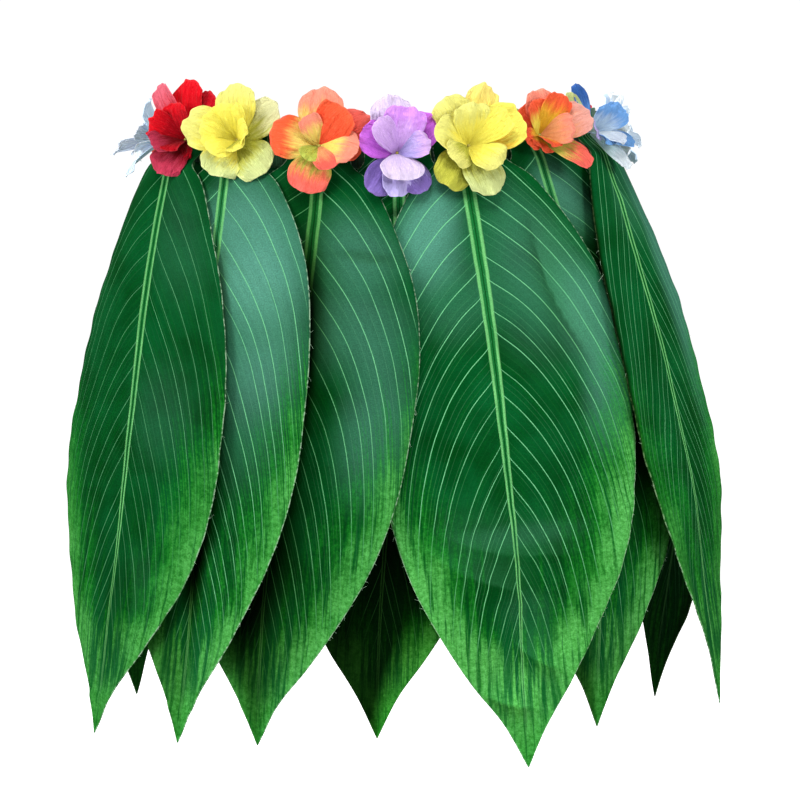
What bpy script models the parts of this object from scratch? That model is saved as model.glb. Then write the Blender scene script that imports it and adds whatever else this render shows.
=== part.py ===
"""Hula skirt: an elastic waistband, broad leaf blades that hang from it and a two-layer flower on each.

The skirt is filled out as it is when worn: hollow, open at the waist and at the hem.
Metres, +Z up. The front faces -Y. The origin is the middle of the waistband, where the wearer holds it.
Around is the angle about +Z in degrees: 0 is the front, 90 is +X and 180 is the back.
"""
import bpy
import numpy as np

# Driving dimensions of the form that the skirt fills, as half widths (X) and half depths (Y)
WAIST_HALF_WIDTH = 0.133
WAIST_HALF_DEPTH = 0.098
HEM_HALF_WIDTH = 0.196
HEM_HALF_DEPTH = 0.142
FLARE_DROP = 0.255
HEM_SHIFT = 0.008
WAIST_DIP = 0.009
WAIST_SLANT = 0.004

# Waistband
BAND_HEIGHT = 0.024
BAND_WALL = 0.0015
BAND_SIDES = 48

# Leaves
CLOTH = 0.001
GAP = 0.0003
LEAF_TOP = 0.010
LEAF_FALL = 0.985
LEAF_COLUMNS = 8
LAYER_RAMP = (0.035, 0.068)
LAYER_STEP_TOP = 0.0020
LAYER_STEP_HEM = 0.0032
CURL_START = 0.80
SKEW_RAMP = (0.07, 0.17)

# Outline of one leaf: share of its length from the base, and half width as a share of the widest
LEAF_OUTLINE = (
    (0.000, 0.240),
    (0.030, 0.260),
    (0.055, 0.280),
    (0.080, 0.430),
    (0.120, 0.574),
    (0.210, 0.805),
    (0.340, 0.951),
    (0.460, 0.970),
    (0.580, 0.930),
    (0.690, 0.799),
    (0.780, 0.603),
    (0.860, 0.387),
    (0.930, 0.164),
    (1.000, 0.012),
)

# Leaves: angles of base and tip, how far the middle sways towards +around, skew of the shoulders (positive
# raises the +around side), flat length and half width, the layer counted from the innermost, how far the
# middle bows out and how far the tip curls out
LEAF_FIELDS = (
    "around_base", "around_tip", "sway", "skew", "length", "half_width", "layer", "bow", "curl",
)
LEAVES = (
    (-64.6, -61.8, 11.4, -0.165, 0.3775, 0.0690, 5, 0.002, -0.002),
    (-38.4, -38.9, 4.5, 0.035, 0.3730, 0.0622, 4, 0.002, 0.000),
    (-16.3, -23.6, 0.3, -0.128, 0.3700, 0.0742, 3, 0.002, 0.000),
    (3.8, -3.2, -0.4, -0.058, 0.3650, 0.0758, 0, 0.000, 0.002),
    (22.1, 22.5, -1.6, 0.033, 0.3862, 0.0797, 2, 0.002, 0.004),
    (42.4, 37.4, 0.4, -0.025, 0.3685, 0.0685, 1, 0.000, 0.000),
    (68.7, 72.6, -10.0, 0.082, 0.3720, 0.0440, 4, 0.000, 0.002),
    (98.0, 122.0, -2.0, 0.000, 0.3860, 0.0560, 2, 0.000, -0.002),
    (126.0, 140.0, 0.0, 0.050, 0.3760, 0.0710, 1, 0.000, 0.002),
    (150.0, 160.0, 0.0, 0.040, 0.3720, 0.0740, 0, 0.000, 0.000),
    (173.0, 181.0, 0.0, 0.030, 0.3700, 0.0740, 2, 0.000, 0.003),
    (195.0, 203.0, 0.0, 0.060, 0.3680, 0.0730, 1, 0.000, 0.000),
    (217.5, 222.0, 0.0, -0.020, 0.3720, 0.0740, 0, 0.000, 0.002),
    (241.0, 228.0, 0.0, -0.050, 0.3740, 0.0730, 2, 0.000, 0.000),
    (268.0, 237.0, 0.0, -0.050, 0.3780, 0.0700, 3, 0.000, -0.002),
)

# Flowers: angle on the waistband, height of the seat above its middle, turn of the face towards +X, rise of
# the petals, spin of each layer (clockwise from up, seen from outside) and its petal lengths; lengths in mm
MM = 0.001
FLOWER_TILT = 18.0
FLOWER_FIELDS = ("around", "height", "turn", "rise", "spin_outer", "outer", "spin_inner", "inner")
FLOWERS = (
    (-60.0, 1, 16.0, 19, 10.0, (33, 24, 29, 28, 27), 40.0, (23, 17, 18, 20, 21)),
    (-39.5, 3, 10.0, 18, 0.0, (29, 27, 28, 26, 26), 36.0, (21, 19, 19, 20, 21)),
    (-16.0, 1, 8.0, 17, 0.0, (32, 26, 28, 34, 30), 36.0, (22, 20, 19, 19, 21)),
    (3.4, -4, 8.0, 17, -10.0, (32, 24, 28, 30, 25), 26.0, (24, 18, 19, 18, 20)),
    (21.6, -2, 7.0, 19, 0.0, (34, 30, 33, 30, 27), 36.0, (24, 21, 19, 20, 22)),
    (43.5, 0, -2.0, 20, 20.0, (26, 28, 27, 26, 27), 56.0, (21, 20, 19, 18, 20)),
    (64.5, -2, -14.0, 16, 10.0, (27, 27, 28, 27, 24), 46.0, (19, 20, 21, 18, 18)),
    (97.0, -2, -8.0, 15, 25.0, (25, 25, 27, 27, 25), 61.0, (18, 19, 19, 19, 18)),
    (124.0, -2, -7.0, 14, 0.0, (28, 27, 28, 29, 28), 36.0, (20, 20, 19, 20, 20)),
    (150.0, -3, -6.0, 15, 15.0, (28, 28, 28, 27, 28), 51.0, (20, 19, 19, 20, 21)),
    (173.0, -3, 0.0, 16, 5.0, (28, 28, 29, 28, 28), 41.0, (21, 20, 19, 20, 20)),
    (195.0, -3, 6.0, 15, 20.0, (28, 28, 29, 28, 28), 56.0, (20, 20, 19, 21, 20)),
    (217.5, -2, 6.0, 15, 0.0, (29, 28, 28, 29, 28), 36.0, (20, 21, 19, 20, 20)),
    (241.0, -2, 6.0, 16, 10.0, (28, 27, 29, 28, 27), 46.0, (20, 19, 19, 20, 19)),
    (267.0, -1, 6.0, 20, 0.0, (29, 26, 28, 31, 29), 36.0, (20, 18, 19, 20, 19)),
)

# Outer and inner petal layers: radius of the flat seat, share of the length and of the rise at the middle
# ring, steps round one petal, notch between petals, extra rise of the inner layer and ruffle of the rim
OUTER_SEAT_RADIUS = 0.005
INNER_SEAT_RADIUS = 0.0035
MIDDLE_LENGTH = 0.58
MIDDLE_RISE = 0.65
OUTER_PETAL_STEPS = 5
INNER_PETAL_STEPS = 4
PETAL_NOTCH = 0.32
MIDDLE_NOTCH = 0.10
INNER_RISE = 1.3
RUFFLE = 0.0012

# Stand-off of a flower's seat: stations from its top down its lowest petal, share of the funnel that still
# turns with the seat, and clearance beyond the gap at a seam
PROFILE_STEPS = 21
SEAT_SHARE = 0.2
SEAT_CLEARANCE = 0.0001

# Colours of the flowers in the order of FLOWERS, as outer and inner petals
FLOWER_COLOURS = (
    ((0.62, 0.02, 0.05), (0.60, 0.01, 0.02)),
    ((0.78, 0.74, 0.30), (0.90, 0.80, 0.12)),
    ((0.85, 0.22, 0.12), (0.90, 0.20, 0.05)),
    ((0.42, 0.28, 0.62), (0.72, 0.50, 0.82)),
    ((0.85, 0.78, 0.20), (0.90, 0.82, 0.25)),
    ((0.85, 0.30, 0.18), (0.85, 0.15, 0.04)),
    ((0.35, 0.52, 0.75), (0.62, 0.75, 0.82)),
    ((0.45, 0.55, 0.80), (0.70, 0.75, 0.88)),
)
LEAF_COLOUR = (0.03, 0.22, 0.06)
BAND_COLOUR = (0.02, 0.12, 0.05)
PETAL_ROUGHNESS = 0.6
LEAF_ROUGHNESS = 0.45
BAND_ROUGHNESS = 0.7


def clear_objects():
    """Remove every object that the open file holds."""
    for thing in list(bpy.data.objects):
        bpy.data.objects.remove(thing, do_unlink=True)


def ease(x):
    """Smooth step from 0 to 1 over 0 to 1."""
    x = np.clip(x, 0.0, 1.0)
    return x * x * (3.0 - 2.0 * x)


def band_line(around):
    """Height of the middle of the waistband: it dips at the front and back and slants a little."""
    return WAIST_SLANT * np.sin(around) - WAIST_DIP * np.cos(around) ** 2


def form(around, drop, out):
    """Point of the skirt's form: an ellipse that widens with the drop below the waist by a quarter sine."""
    spread = np.sin(0.5 * np.pi * np.clip(drop / FLARE_DROP, 0.0, 1.0))
    half_width = WAIST_HALF_WIDTH + (HEM_HALF_WIDTH - WAIST_HALF_WIDTH) * spread + out
    half_depth = WAIST_HALF_DEPTH + (HEM_HALF_DEPTH - WAIST_HALF_DEPTH) * spread + out
    x = half_width * np.sin(around) + HEM_SHIFT * spread
    y = -half_depth * np.cos(around)
    z = band_line(around) - drop
    return np.stack([x, y, z + 0.0 * x], axis=-1)


def around_speed(around, drop):
    """Length of the form's ring for each radian of the angle around."""
    spread = np.sin(0.5 * np.pi * np.clip(drop / FLARE_DROP, 0.0, 1.0))
    half_width = WAIST_HALF_WIDTH + (HEM_HALF_WIDTH - WAIST_HALF_WIDTH) * spread
    half_depth = WAIST_HALF_DEPTH + (HEM_HALF_DEPTH - WAIST_HALF_DEPTH) * spread
    return np.hypot(half_width * np.cos(around), half_depth * np.sin(around))


def material(name, colour, roughness):
    """Principled material of one colour."""
    made = bpy.data.materials.new(name)
    made.use_nodes = True
    shader = made.node_tree.nodes["Principled BSDF"]
    shader.inputs["Base Color"].default_value = (*colour, 1.0)
    shader.inputs["Roughness"].default_value = roughness
    shader.inputs["Metallic"].default_value = 0.0
    return made


def add_object(name, points, faces, colour, roughness, wall):
    """Object from points and faces, given its cloth thickness outwards when wall is set."""
    mesh = bpy.data.meshes.new(name)
    mesh.from_pydata([tuple(p) for p in points], [], faces)
    mesh.validate()
    mesh.materials.append(material(name, colour, roughness))
    mesh.shade_smooth()
    thing = bpy.data.objects.new(name, mesh)
    bpy.context.scene.collection.objects.link(thing)
    if wall:
        cloth = thing.modifiers.new("Cloth", "SOLIDIFY")
        cloth.thickness = wall
        cloth.offset = 1.0
        cloth.use_even_offset = True
    return thing


def grid_faces(rows, columns):
    """Quads of a grid of points that is stored row by row, facing out when rows go down and columns right."""
    faces = []
    for row in range(rows - 1):
        for column in range(columns - 1):
            corner = row * columns + column
            faces.append((corner, corner + columns, corner + columns + 1, corner + 1))
    return faces


def add_waistband():
    """Elastic strip: a rectangle carried round the waist."""
    around = np.linspace(0.0, 2.0 * np.pi, BAND_SIDES, endpoint=False)
    half = 0.5 * BAND_HEIGHT
    section = ((0.0, half), (0.0, -half), (-BAND_WALL, -half), (-BAND_WALL, half))
    points = []
    for out, lift in section:
        ring = form(around, 0.0 * around, out)
        ring[:, 2] += lift
        points.extend(ring)
    faces = []
    sides = len(section)
    for side in range(sides):
        for step in range(BAND_SIDES):
            after = (step + 1) % BAND_SIDES
            here = side * BAND_SIDES
            below = ((side + 1) % sides) * BAND_SIDES
            faces.append((here + step, below + step, below + after, here + after))
    add_object("waistband", points, faces, BAND_COLOUR, BAND_ROUGHNESS, 0.0)


def leaf_stand_out(leaf, along):
    """How far a leaf's inner surface stands off the form at each share of its length."""
    ramp = ease((along - LAYER_RAMP[0]) / (LAYER_RAMP[1] - LAYER_RAMP[0]))
    step = ramp * (LAYER_STEP_TOP + (LAYER_STEP_HEM - LAYER_STEP_TOP) * along)
    tip = ease((along - CURL_START) / (1.0 - CURL_START))
    return GAP + leaf["layer"] * step + leaf["bow"] * np.sin(np.pi * along) ** 2 + leaf["curl"] * tip


def leaf_points(leaf):
    """Grid of a leaf's inner surface: down its length by the outline's rows, and across."""
    outline = np.array(LEAF_OUTLINE)
    along = outline[:, :1]
    across = np.linspace(-1.0, 1.0, LEAF_COLUMNS + 1)[None, :]
    drop = along * leaf["length"] * LEAF_FALL - LEAF_TOP
    middle = leaf["around_base"] + (leaf["around_tip"] - leaf["around_base"]) * ease(along)
    middle = np.radians(middle + leaf["sway"] * np.sin(np.pi * along))
    sideways = across * outline[:, 1:] * leaf["half_width"]
    ramp = ease((along - SKEW_RAMP[0]) / (SKEW_RAMP[1] - SKEW_RAMP[0]))
    drop = drop - leaf["skew"] * sideways * ramp
    halfway = middle + 0.5 * sideways / around_speed(middle, drop)
    around = middle + sideways / around_speed(halfway, drop)
    out = leaf_stand_out(leaf, along) + 0.0 * across
    return form(around, drop, out)


def add_leaf(number, leaf):
    """One leaf blade, a sheet of cloth."""
    points = leaf_points(leaf)
    rows, columns = points.shape[:2]
    faces = grid_faces(rows, columns)
    add_object(f"leaf_{number:02d}", points.reshape(-1, 3), faces, LEAF_COLOUR, LEAF_ROUGHNESS, CLOTH)


def seat_stand_off(flower, leaf):
    """How far a flower's seat stands off the form so that its back and lowest petal clear the leaf's base."""
    tilt = np.radians(FLOWER_TILT)
    reach = np.linspace(-OUTER_SEAT_RADIUS, MIDDLE_LENGTH * MM * max(flower["outer"]), PROFILE_STEPS)
    funnel = np.clip((reach - OUTER_SEAT_RADIUS) / (reach[-1] - OUTER_SEAT_RADIUS), 0.0, 1.0)
    climb = funnel * MIDDLE_RISE * MM * flower["rise"]
    seat_drop = -MM * flower["height"]
    drop = seat_drop + reach * np.cos(tilt) - climb * np.sin(tilt)
    rows = np.array(LEAF_OUTLINE)[:, 0]
    along = (drop + LEAF_TOP) / (leaf["length"] * LEAF_FALL)
    leaf_out = np.interp(along, rows, leaf_stand_out(leaf, rows))
    around = np.radians(flower["around"])
    flare = form(around, drop, 0.0)[:, :2] - form(around, seat_drop, 0.0)[:2]
    leaf_out += np.sign(drop - seat_drop) * np.hypot(flare[:, 0], flare[:, 1])
    leaf_out += CLOTH * np.hypot(1.0, np.gradient(leaf_out, drop))
    turned = OUTER_SEAT_RADIUS * np.sin(np.radians(abs(flower["turn"]))) * (funnel < SEAT_SHARE)
    return GAP + SEAT_CLEARANCE + np.max(leaf_out + turned - reach * np.sin(tilt) - climb * np.cos(tilt))


def flower_frame(flower, leaf):
    """Seat point of a flower on its leaf's base, with its side, up and axis directions."""
    around = np.radians(flower["around"])
    face = np.arctan2(WAIST_HALF_DEPTH * np.sin(around), WAIST_HALF_WIDTH * np.cos(around))
    face += np.radians(flower["turn"])
    tilt = np.radians(FLOWER_TILT)
    axis = np.array([np.sin(face) * np.cos(tilt), -np.cos(face) * np.cos(tilt), np.sin(tilt)])
    up = np.array([-np.sin(face) * np.sin(tilt), np.cos(face) * np.sin(tilt), np.cos(tilt)])
    seat = form(around, -MM * flower["height"], seat_stand_off(flower, leaf))
    return seat, np.cross(up, axis), up, axis


def petal_radius(share, lengths, notch):
    """Radius round a layer: each petal's own length, drawn in by the notch towards its neighbours."""
    count = len(lengths)
    nearest = np.floor(share * count + 0.5)
    aside = share * count - nearest
    number = nearest.astype(int) % count
    own = lengths[number]
    neighbour = np.where(aside >= 0.0, np.roll(lengths, -1)[number], np.roll(lengths, 1)[number])
    mean = own + (neighbour - own) * 0.5 * np.abs(2.0 * aside) ** 3
    return mean * (1.0 - notch * np.abs(2.0 * aside) ** 4)


def add_petal_layer(name, frame, lengths, spin, steps, seat_radius, rise, lift, colour):
    """Layer of five joined petals: a flat seat, a funnel and a spreading rim, as a sheet of cloth."""
    seat, side, up, axis = frame
    lengths = MM * np.array(lengths)
    count = len(lengths) * steps
    share = (np.arange(count) + 0.5 * (steps % 2)) / count
    turn = 2.0 * np.pi * share + np.radians(spin)
    direction = np.sin(turn)[:, None] * side + np.cos(turn)[:, None] * up
    beside = np.cos(2.0 * np.pi * share * len(lengths))
    middle = MIDDLE_LENGTH * petal_radius(share, lengths, MIDDLE_NOTCH)
    rim = petal_radius(share, lengths, PETAL_NOTCH)
    rings = (
        (seat_radius + 0.0 * share, 0.0 * share),
        (middle, MIDDLE_RISE * rise + 0.0 * share),
        (rim, rise + RUFFLE * beside),
    )
    points = [seat + lift * axis]
    for radius, height in rings:
        points.extend(seat + radius[:, None] * direction + (height + lift)[:, None] * axis)
    faces = []
    for step in range(count):
        after = (step + 1) % count
        faces.append((0, 1 + after, 1 + step))
        for ring in range(len(rings) - 1):
            here = 1 + ring * count
            there = here + count
            faces.append((here + step, here + after, there + after, there + step))
    add_object(name, points, faces, colour, PETAL_ROUGHNESS, CLOTH)


def add_flower(number, flower, leaf):
    """A flower of two petal layers on its leaf's base."""
    frame = flower_frame(flower, leaf)
    colours = FLOWER_COLOURS[(number - 1) % len(FLOWER_COLOURS)]
    add_petal_layer(
        f"petals_outer_{number:02d}", frame, flower["outer"], flower["spin_outer"], OUTER_PETAL_STEPS,
        OUTER_SEAT_RADIUS, MM * flower["rise"], 0.0, colours[0],
    )
    add_petal_layer(
        f"petals_inner_{number:02d}", frame, flower["inner"], flower["spin_inner"], INNER_PETAL_STEPS,
        INNER_SEAT_RADIUS, MM * flower["rise"] * INNER_RISE, CLOTH + GAP, colours[1],
    )


def main():
    clear_objects()
    add_waistband()
    for number, (leaf_row, flower_row) in enumerate(zip(LEAVES, FLOWERS), start=1):
        leaf = dict(zip(LEAF_FIELDS, leaf_row))
        add_leaf(number, leaf)
        add_flower(number, dict(zip(FLOWER_FIELDS, flower_row)), leaf)


main()
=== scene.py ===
"""Visual model of a hula skirt: printed satin leaf blades, an elastic waistband and cloth flowers.

Metres, +Z up, and the front faces -Y. Around is the angle about +Z in degrees: 0 is the front and 90 is +X.
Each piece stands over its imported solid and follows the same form, with folds, pleats and frills added. The
beads and the loose threads are the scene's own.
"""

import bpy
import numpy as np
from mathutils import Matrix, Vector


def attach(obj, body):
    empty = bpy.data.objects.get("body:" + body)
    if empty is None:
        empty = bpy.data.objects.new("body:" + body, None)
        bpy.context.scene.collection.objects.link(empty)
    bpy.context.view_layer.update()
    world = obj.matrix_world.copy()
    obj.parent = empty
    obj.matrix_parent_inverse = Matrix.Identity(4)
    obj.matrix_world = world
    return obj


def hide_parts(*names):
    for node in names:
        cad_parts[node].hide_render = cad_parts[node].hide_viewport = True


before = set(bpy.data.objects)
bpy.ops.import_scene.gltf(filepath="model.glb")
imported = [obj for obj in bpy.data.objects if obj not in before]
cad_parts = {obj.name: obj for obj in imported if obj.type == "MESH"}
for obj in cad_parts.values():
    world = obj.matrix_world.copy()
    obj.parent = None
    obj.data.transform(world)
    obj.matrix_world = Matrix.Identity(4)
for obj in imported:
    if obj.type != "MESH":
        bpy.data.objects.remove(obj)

bl_info = {
    "name": "Hula skirt",
    "version": (1, 0, 0),
    "blender": (4, 5, 0),
    "location": "View3D > Sidebar > Hula skirt",
    "description": "Leaf blades, waistband, flowers and stage of a hula skirt",
    "category": "Object",
}


def named(fields, rows):
    """Rows of a table, each as a dictionary by the names of its columns."""
    return [dict(zip(fields.split(), row)) for row in rows]


# The form that the skirt fills, as half widths (X) and half depths (Y), and the waistband on it: its mean
# radius, the girth that its ribs are counted over, and its grid round the section and round the waist
WAIST_HALF_WIDTH = 0.133
WAIST_HALF_DEPTH = 0.098
HEM_HALF_WIDTH = 0.196
HEM_HALF_DEPTH = 0.142
FLARE_DROP = 0.255
HEM_SHIFT = 0.008
WAIST_DIP = 0.009
WAIST_SLANT = 0.004
BAND_HEIGHT = 0.024
BAND_WALL = 0.0015
BAND_RADIUS = 0.1166
RIBBED_GIRTH = 0.74
BAND_GRID = (28, 960)
GAP = 0.0003
CLOTH = 0.001

# One leaf: where it starts above the waist, how much of its length falls, how the layers part below the
# waist, where the tip's curl, the skew of the shoulders and the midrib's return to the middle line begin, and
# the depth of the midrib's groove and of all folds inwards
LEAF_TOP = 0.010
LEAF_FALL = 0.985
LAYER_RAMP = (0.035, 0.068)
LAYER_STEP_TOP = 0.0020
LAYER_STEP_HEM = 0.0032
CURL_START = 0.80
SKEW_RAMP = (0.07, 0.17)
RIB_RETURN = (0.46, 0.78)
GROOVE_DEPTH = 0.0011
INWARD_DEPTH = 0.0010
FRONT_LEAVES = 7
BACK_GRID = (121, 41)
AREA_STEPS = 401

# Outline of one leaf: share of its length from the base, and half width as a share of the widest
LEAF_OUTLINE = np.array((
    (0.000, 0.240), (0.030, 0.260), (0.055, 0.280), (0.080, 0.430), (0.120, 0.574),
    (0.210, 0.805), (0.340, 0.951), (0.460, 0.970), (0.580, 0.930), (0.690, 0.799),
    (0.780, 0.603), (0.860, 0.387), (0.930, 0.164), (1.000, 0.004),
))

# Shape of each leaf: angles of base and tip, sway of the middle, skew of the shoulders, length, half width,
# layer, bow, curl of the tip, then the lift of the left and the right edge
LEAF_SHAPE = "around_base around_tip sway skew length half_width layer bow curl lift_left lift_right"
LEAF_SHAPES = (
    (-64.6, -61.8,  11.4, -0.165, 0.3775, 0.0690, 5, 0.002, -0.002, 0.000, 0.005),
    (-38.4, -38.9,   4.5,  0.035, 0.3730, 0.0622, 4, 0.002,  0.000, 0.000, 0.009),
    (-16.3, -23.6,   0.3, -0.128, 0.3700, 0.0742, 3, 0.002,  0.000, 0.000, 0.006),
    (  3.8,  -3.2,  -0.4, -0.058, 0.3650, 0.0758, 0, 0.000,  0.002, 0.000, 0.000),
    ( 22.1,  22.5,  -1.6,  0.033, 0.3862, 0.0797, 2, 0.002,  0.004, 0.000, 0.005),
    ( 42.4,  37.4,   0.4, -0.025, 0.3685, 0.0685, 1, 0.000,  0.000, 0.000, 0.000),
    ( 68.7,  72.6, -10.0,  0.082, 0.3720, 0.0440, 4, 0.000,  0.002, 0.007, 0.000),
    ( 98.0, 122.0,  -2.0,  0.000, 0.3860, 0.0560, 2, 0.000, -0.002, 0.000, 0.003),
    (126.0, 140.0,   0.0,  0.050, 0.3760, 0.0710, 1, 0.000,  0.002, 0.000, 0.000),
    (150.0, 160.0,   0.0,  0.040, 0.3720, 0.0740, 0, 0.000,  0.000, 0.000, 0.000),
    (173.0, 181.0,   0.0,  0.030, 0.3700, 0.0740, 2, 0.000,  0.003, 0.005, 0.005),
    (195.0, 203.0,   0.0,  0.060, 0.3680, 0.0730, 1, 0.000,  0.000, 0.000, 0.000),
    (217.5, 222.0,   0.0, -0.020, 0.3720, 0.0740, 0, 0.000,  0.002, 0.000, 0.000),
    (241.0, 228.0,   0.0, -0.050, 0.3740, 0.0730, 2, 0.000,  0.000, 0.000, 0.000),
    (268.0, 237.0,   0.0, -0.050, 0.3780, 0.0700, 3, 0.000, -0.002, 0.000, 0.000),
)

# Print of each leaf: how bright it is, which is painted light and shade for where the leaf hangs (the fourth,
# deep between its neighbours, is painted bright for its top and its patches darken it below), how wide its
# bright border is, how steeply its veins leave the midrib, how late they steepen downwards, how strong they
# are, and how far the midrib lies beside the middle line above
LEAF_PRINT = "bright border vein_slope vein_turn veins rib_shift"
LEAF_PRINTS = (
    (0.80, 0.80, 0.60, 0.0, 0.50,  0.0000),
    (0.86, 0.85, 0.74, 0.0, 1.00, -0.0063),
    (0.80, 0.88, 0.60, 0.4, 1.00,  0.0018),
    (2.00, 0.85, 0.50, 0.5, 1.00,  0.0000),
    (0.98, 1.04, 0.52, 1.0, 1.10, -0.0044),
    (0.85, 0.95, 0.50, 0.5, 1.00,  0.0000),
    (0.97, 0.75, 2.20, 0.0, 0.60,  0.0000),
    (0.70, 0.60, 1.20, 0.3, 0.80,  0.0000),
    (1.00, 0.80, 0.50, 0.5, 1.00,  0.0000),
    (0.95, 0.70, 0.50, 0.5, 1.00,  0.0000),
    (1.05, 1.00, 0.50, 0.5, 1.00,  0.0000),
    (1.00, 0.80, 0.50, 0.5, 1.00,  0.0000),
    (1.00, 0.90, 0.50, 0.5, 1.00,  0.0000),
    (1.00, 0.70, 0.50, 0.5, 1.00,  0.0000),
    (0.85, 0.60, 0.90, 0.3, 0.80,  0.0000),
)
LEAVES = named(f"{LEAF_SHAPE} {LEAF_PRINT}", [shape + ink for shape, ink in zip(LEAF_SHAPES, LEAF_PRINTS)])

# Creases: leaf number, share along and across the blade (-1 to 1), angle from the cross direction, half
# length, width and depth outwards; a step parts two flat faces and a ridge stands up by itself. The tone is
# the strength of a painted highlight on the far side of the line and of painted shade on the near side
CREASES = named("leaf along across angle half_length width depth step tone", (
    (1, 0.30, 0.30, 78, 0.060, 0.0100, 0.0010, 0, 0.00),
    (1, 0.74, 0.30, 84, 0.022, 0.0022, 0.0011, 1, -0.12),
    (1, 0.93, 0.00, -12, 0.012, 0.0016, 0.0008, 1, 0.00),
    (2, 0.24, 0.20, 30, 0.045, 0.0090, 0.0012, 1, 0.10),
    (2, 0.62, -0.10, 8, 0.040, 0.0060, 0.0009, 0, 0.00),
    (2, 0.94, 0.00, 14, 0.010, 0.0016, 0.0008, 1, 0.00),
    (3, 0.195, 0.62, -10, 0.022, 0.0030, -0.0012, 0, 0.00),
    (3, 0.42, 0.45, 70, 0.040, 0.0070, 0.0010, 0, 0.00),
    (3, 0.93, 0.00, -16, 0.012, 0.0016, 0.0009, 1, 0.00),
    (4, 0.72, 0.20, 60, 0.030, 0.0050, 0.0010, 0, 0.00),
    (5, 0.27, 0.55, 75, 0.042, 0.0018, 0.0011, 1, -0.48),
    (5, 0.60, -0.35, 10, 0.034, 0.0045, 0.0013, 0, 0.00),
    (5, 0.655, -0.10, 15, 0.040, 0.0026, 0.0010, 1, -0.17),
    (5, 0.74, 0.00, 20, 0.022, 0.0040, 0.0010, 0, 0.00),
    (5, 0.69, -0.42, 30, 0.030, 0.0016, 0.0010, 1, -0.22),
    (5, 0.832, 0.24, 38, 0.016, 0.0018, 0.0012, 1, -0.42),
    (5, 0.896, -0.45, 24, 0.015, 0.0018, 0.0016, 1, -0.60),
    (6, 0.30, 0.50, 62, 0.030, 0.0050, 0.0012, 1, 0.10),
    (6, 0.84, 0.10, 30, 0.016, 0.0030, 0.0010, 1, 0.00),
    (7, 0.16, 0.40, 60, 0.020, 0.0030, 0.0014, 1, 0.10),
    (7, 0.55, -0.20, 80, 0.050, 0.0060, 0.0009, 0, 0.00),
    (8, 0.50, 0.30, 82, 0.060, 0.0060, 0.0014, 0, 0.00),
    (9, 0.30, 0.20, 24, 0.040, 0.0050, 0.0012, 1, 0.15),
    (9, 0.70, -0.20, 70, 0.030, 0.0050, 0.0010, 0, 0.00),
    (10, 0.46, -0.10, 12, 0.040, 0.0050, 0.0010, 1, 0.10),
    (10, 0.86, 0.10, -20, 0.016, 0.0022, 0.0010, 1, -0.12),
    (11, 0.26, -0.30, -60, 0.036, 0.0014, 0.0013, 1, 0.28),
    (11, 0.58, 0.20, 72, 0.040, 0.0050, 0.0011, 0, 0.00),
    (11, 0.90, 0.00, 12, 0.014, 0.0018, 0.0010, 1, -0.15),
    (12, 0.38, 0.30, 60, 0.040, 0.0050, 0.0011, 0, 0.00),
    (12, 0.72, -0.10, -10, 0.030, 0.0040, 0.0011, 1, 0.00),
    (13, 0.32, 0.10, 16, 0.040, 0.0050, 0.0011, 1, 0.15),
    (13, 0.92, 0.00, -14, 0.012, 0.0018, 0.0009, 1, 0.00),
    (14, 0.50, -0.30, 66, 0.040, 0.0050, 0.0011, 0, 0.00),
    (14, 0.80, 0.10, 10, 0.022, 0.0030, 0.0010, 1, 0.00),
    (15, 0.44, 0.20, 74, 0.050, 0.0060, 0.0012, 0, 0.00),
))
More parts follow.
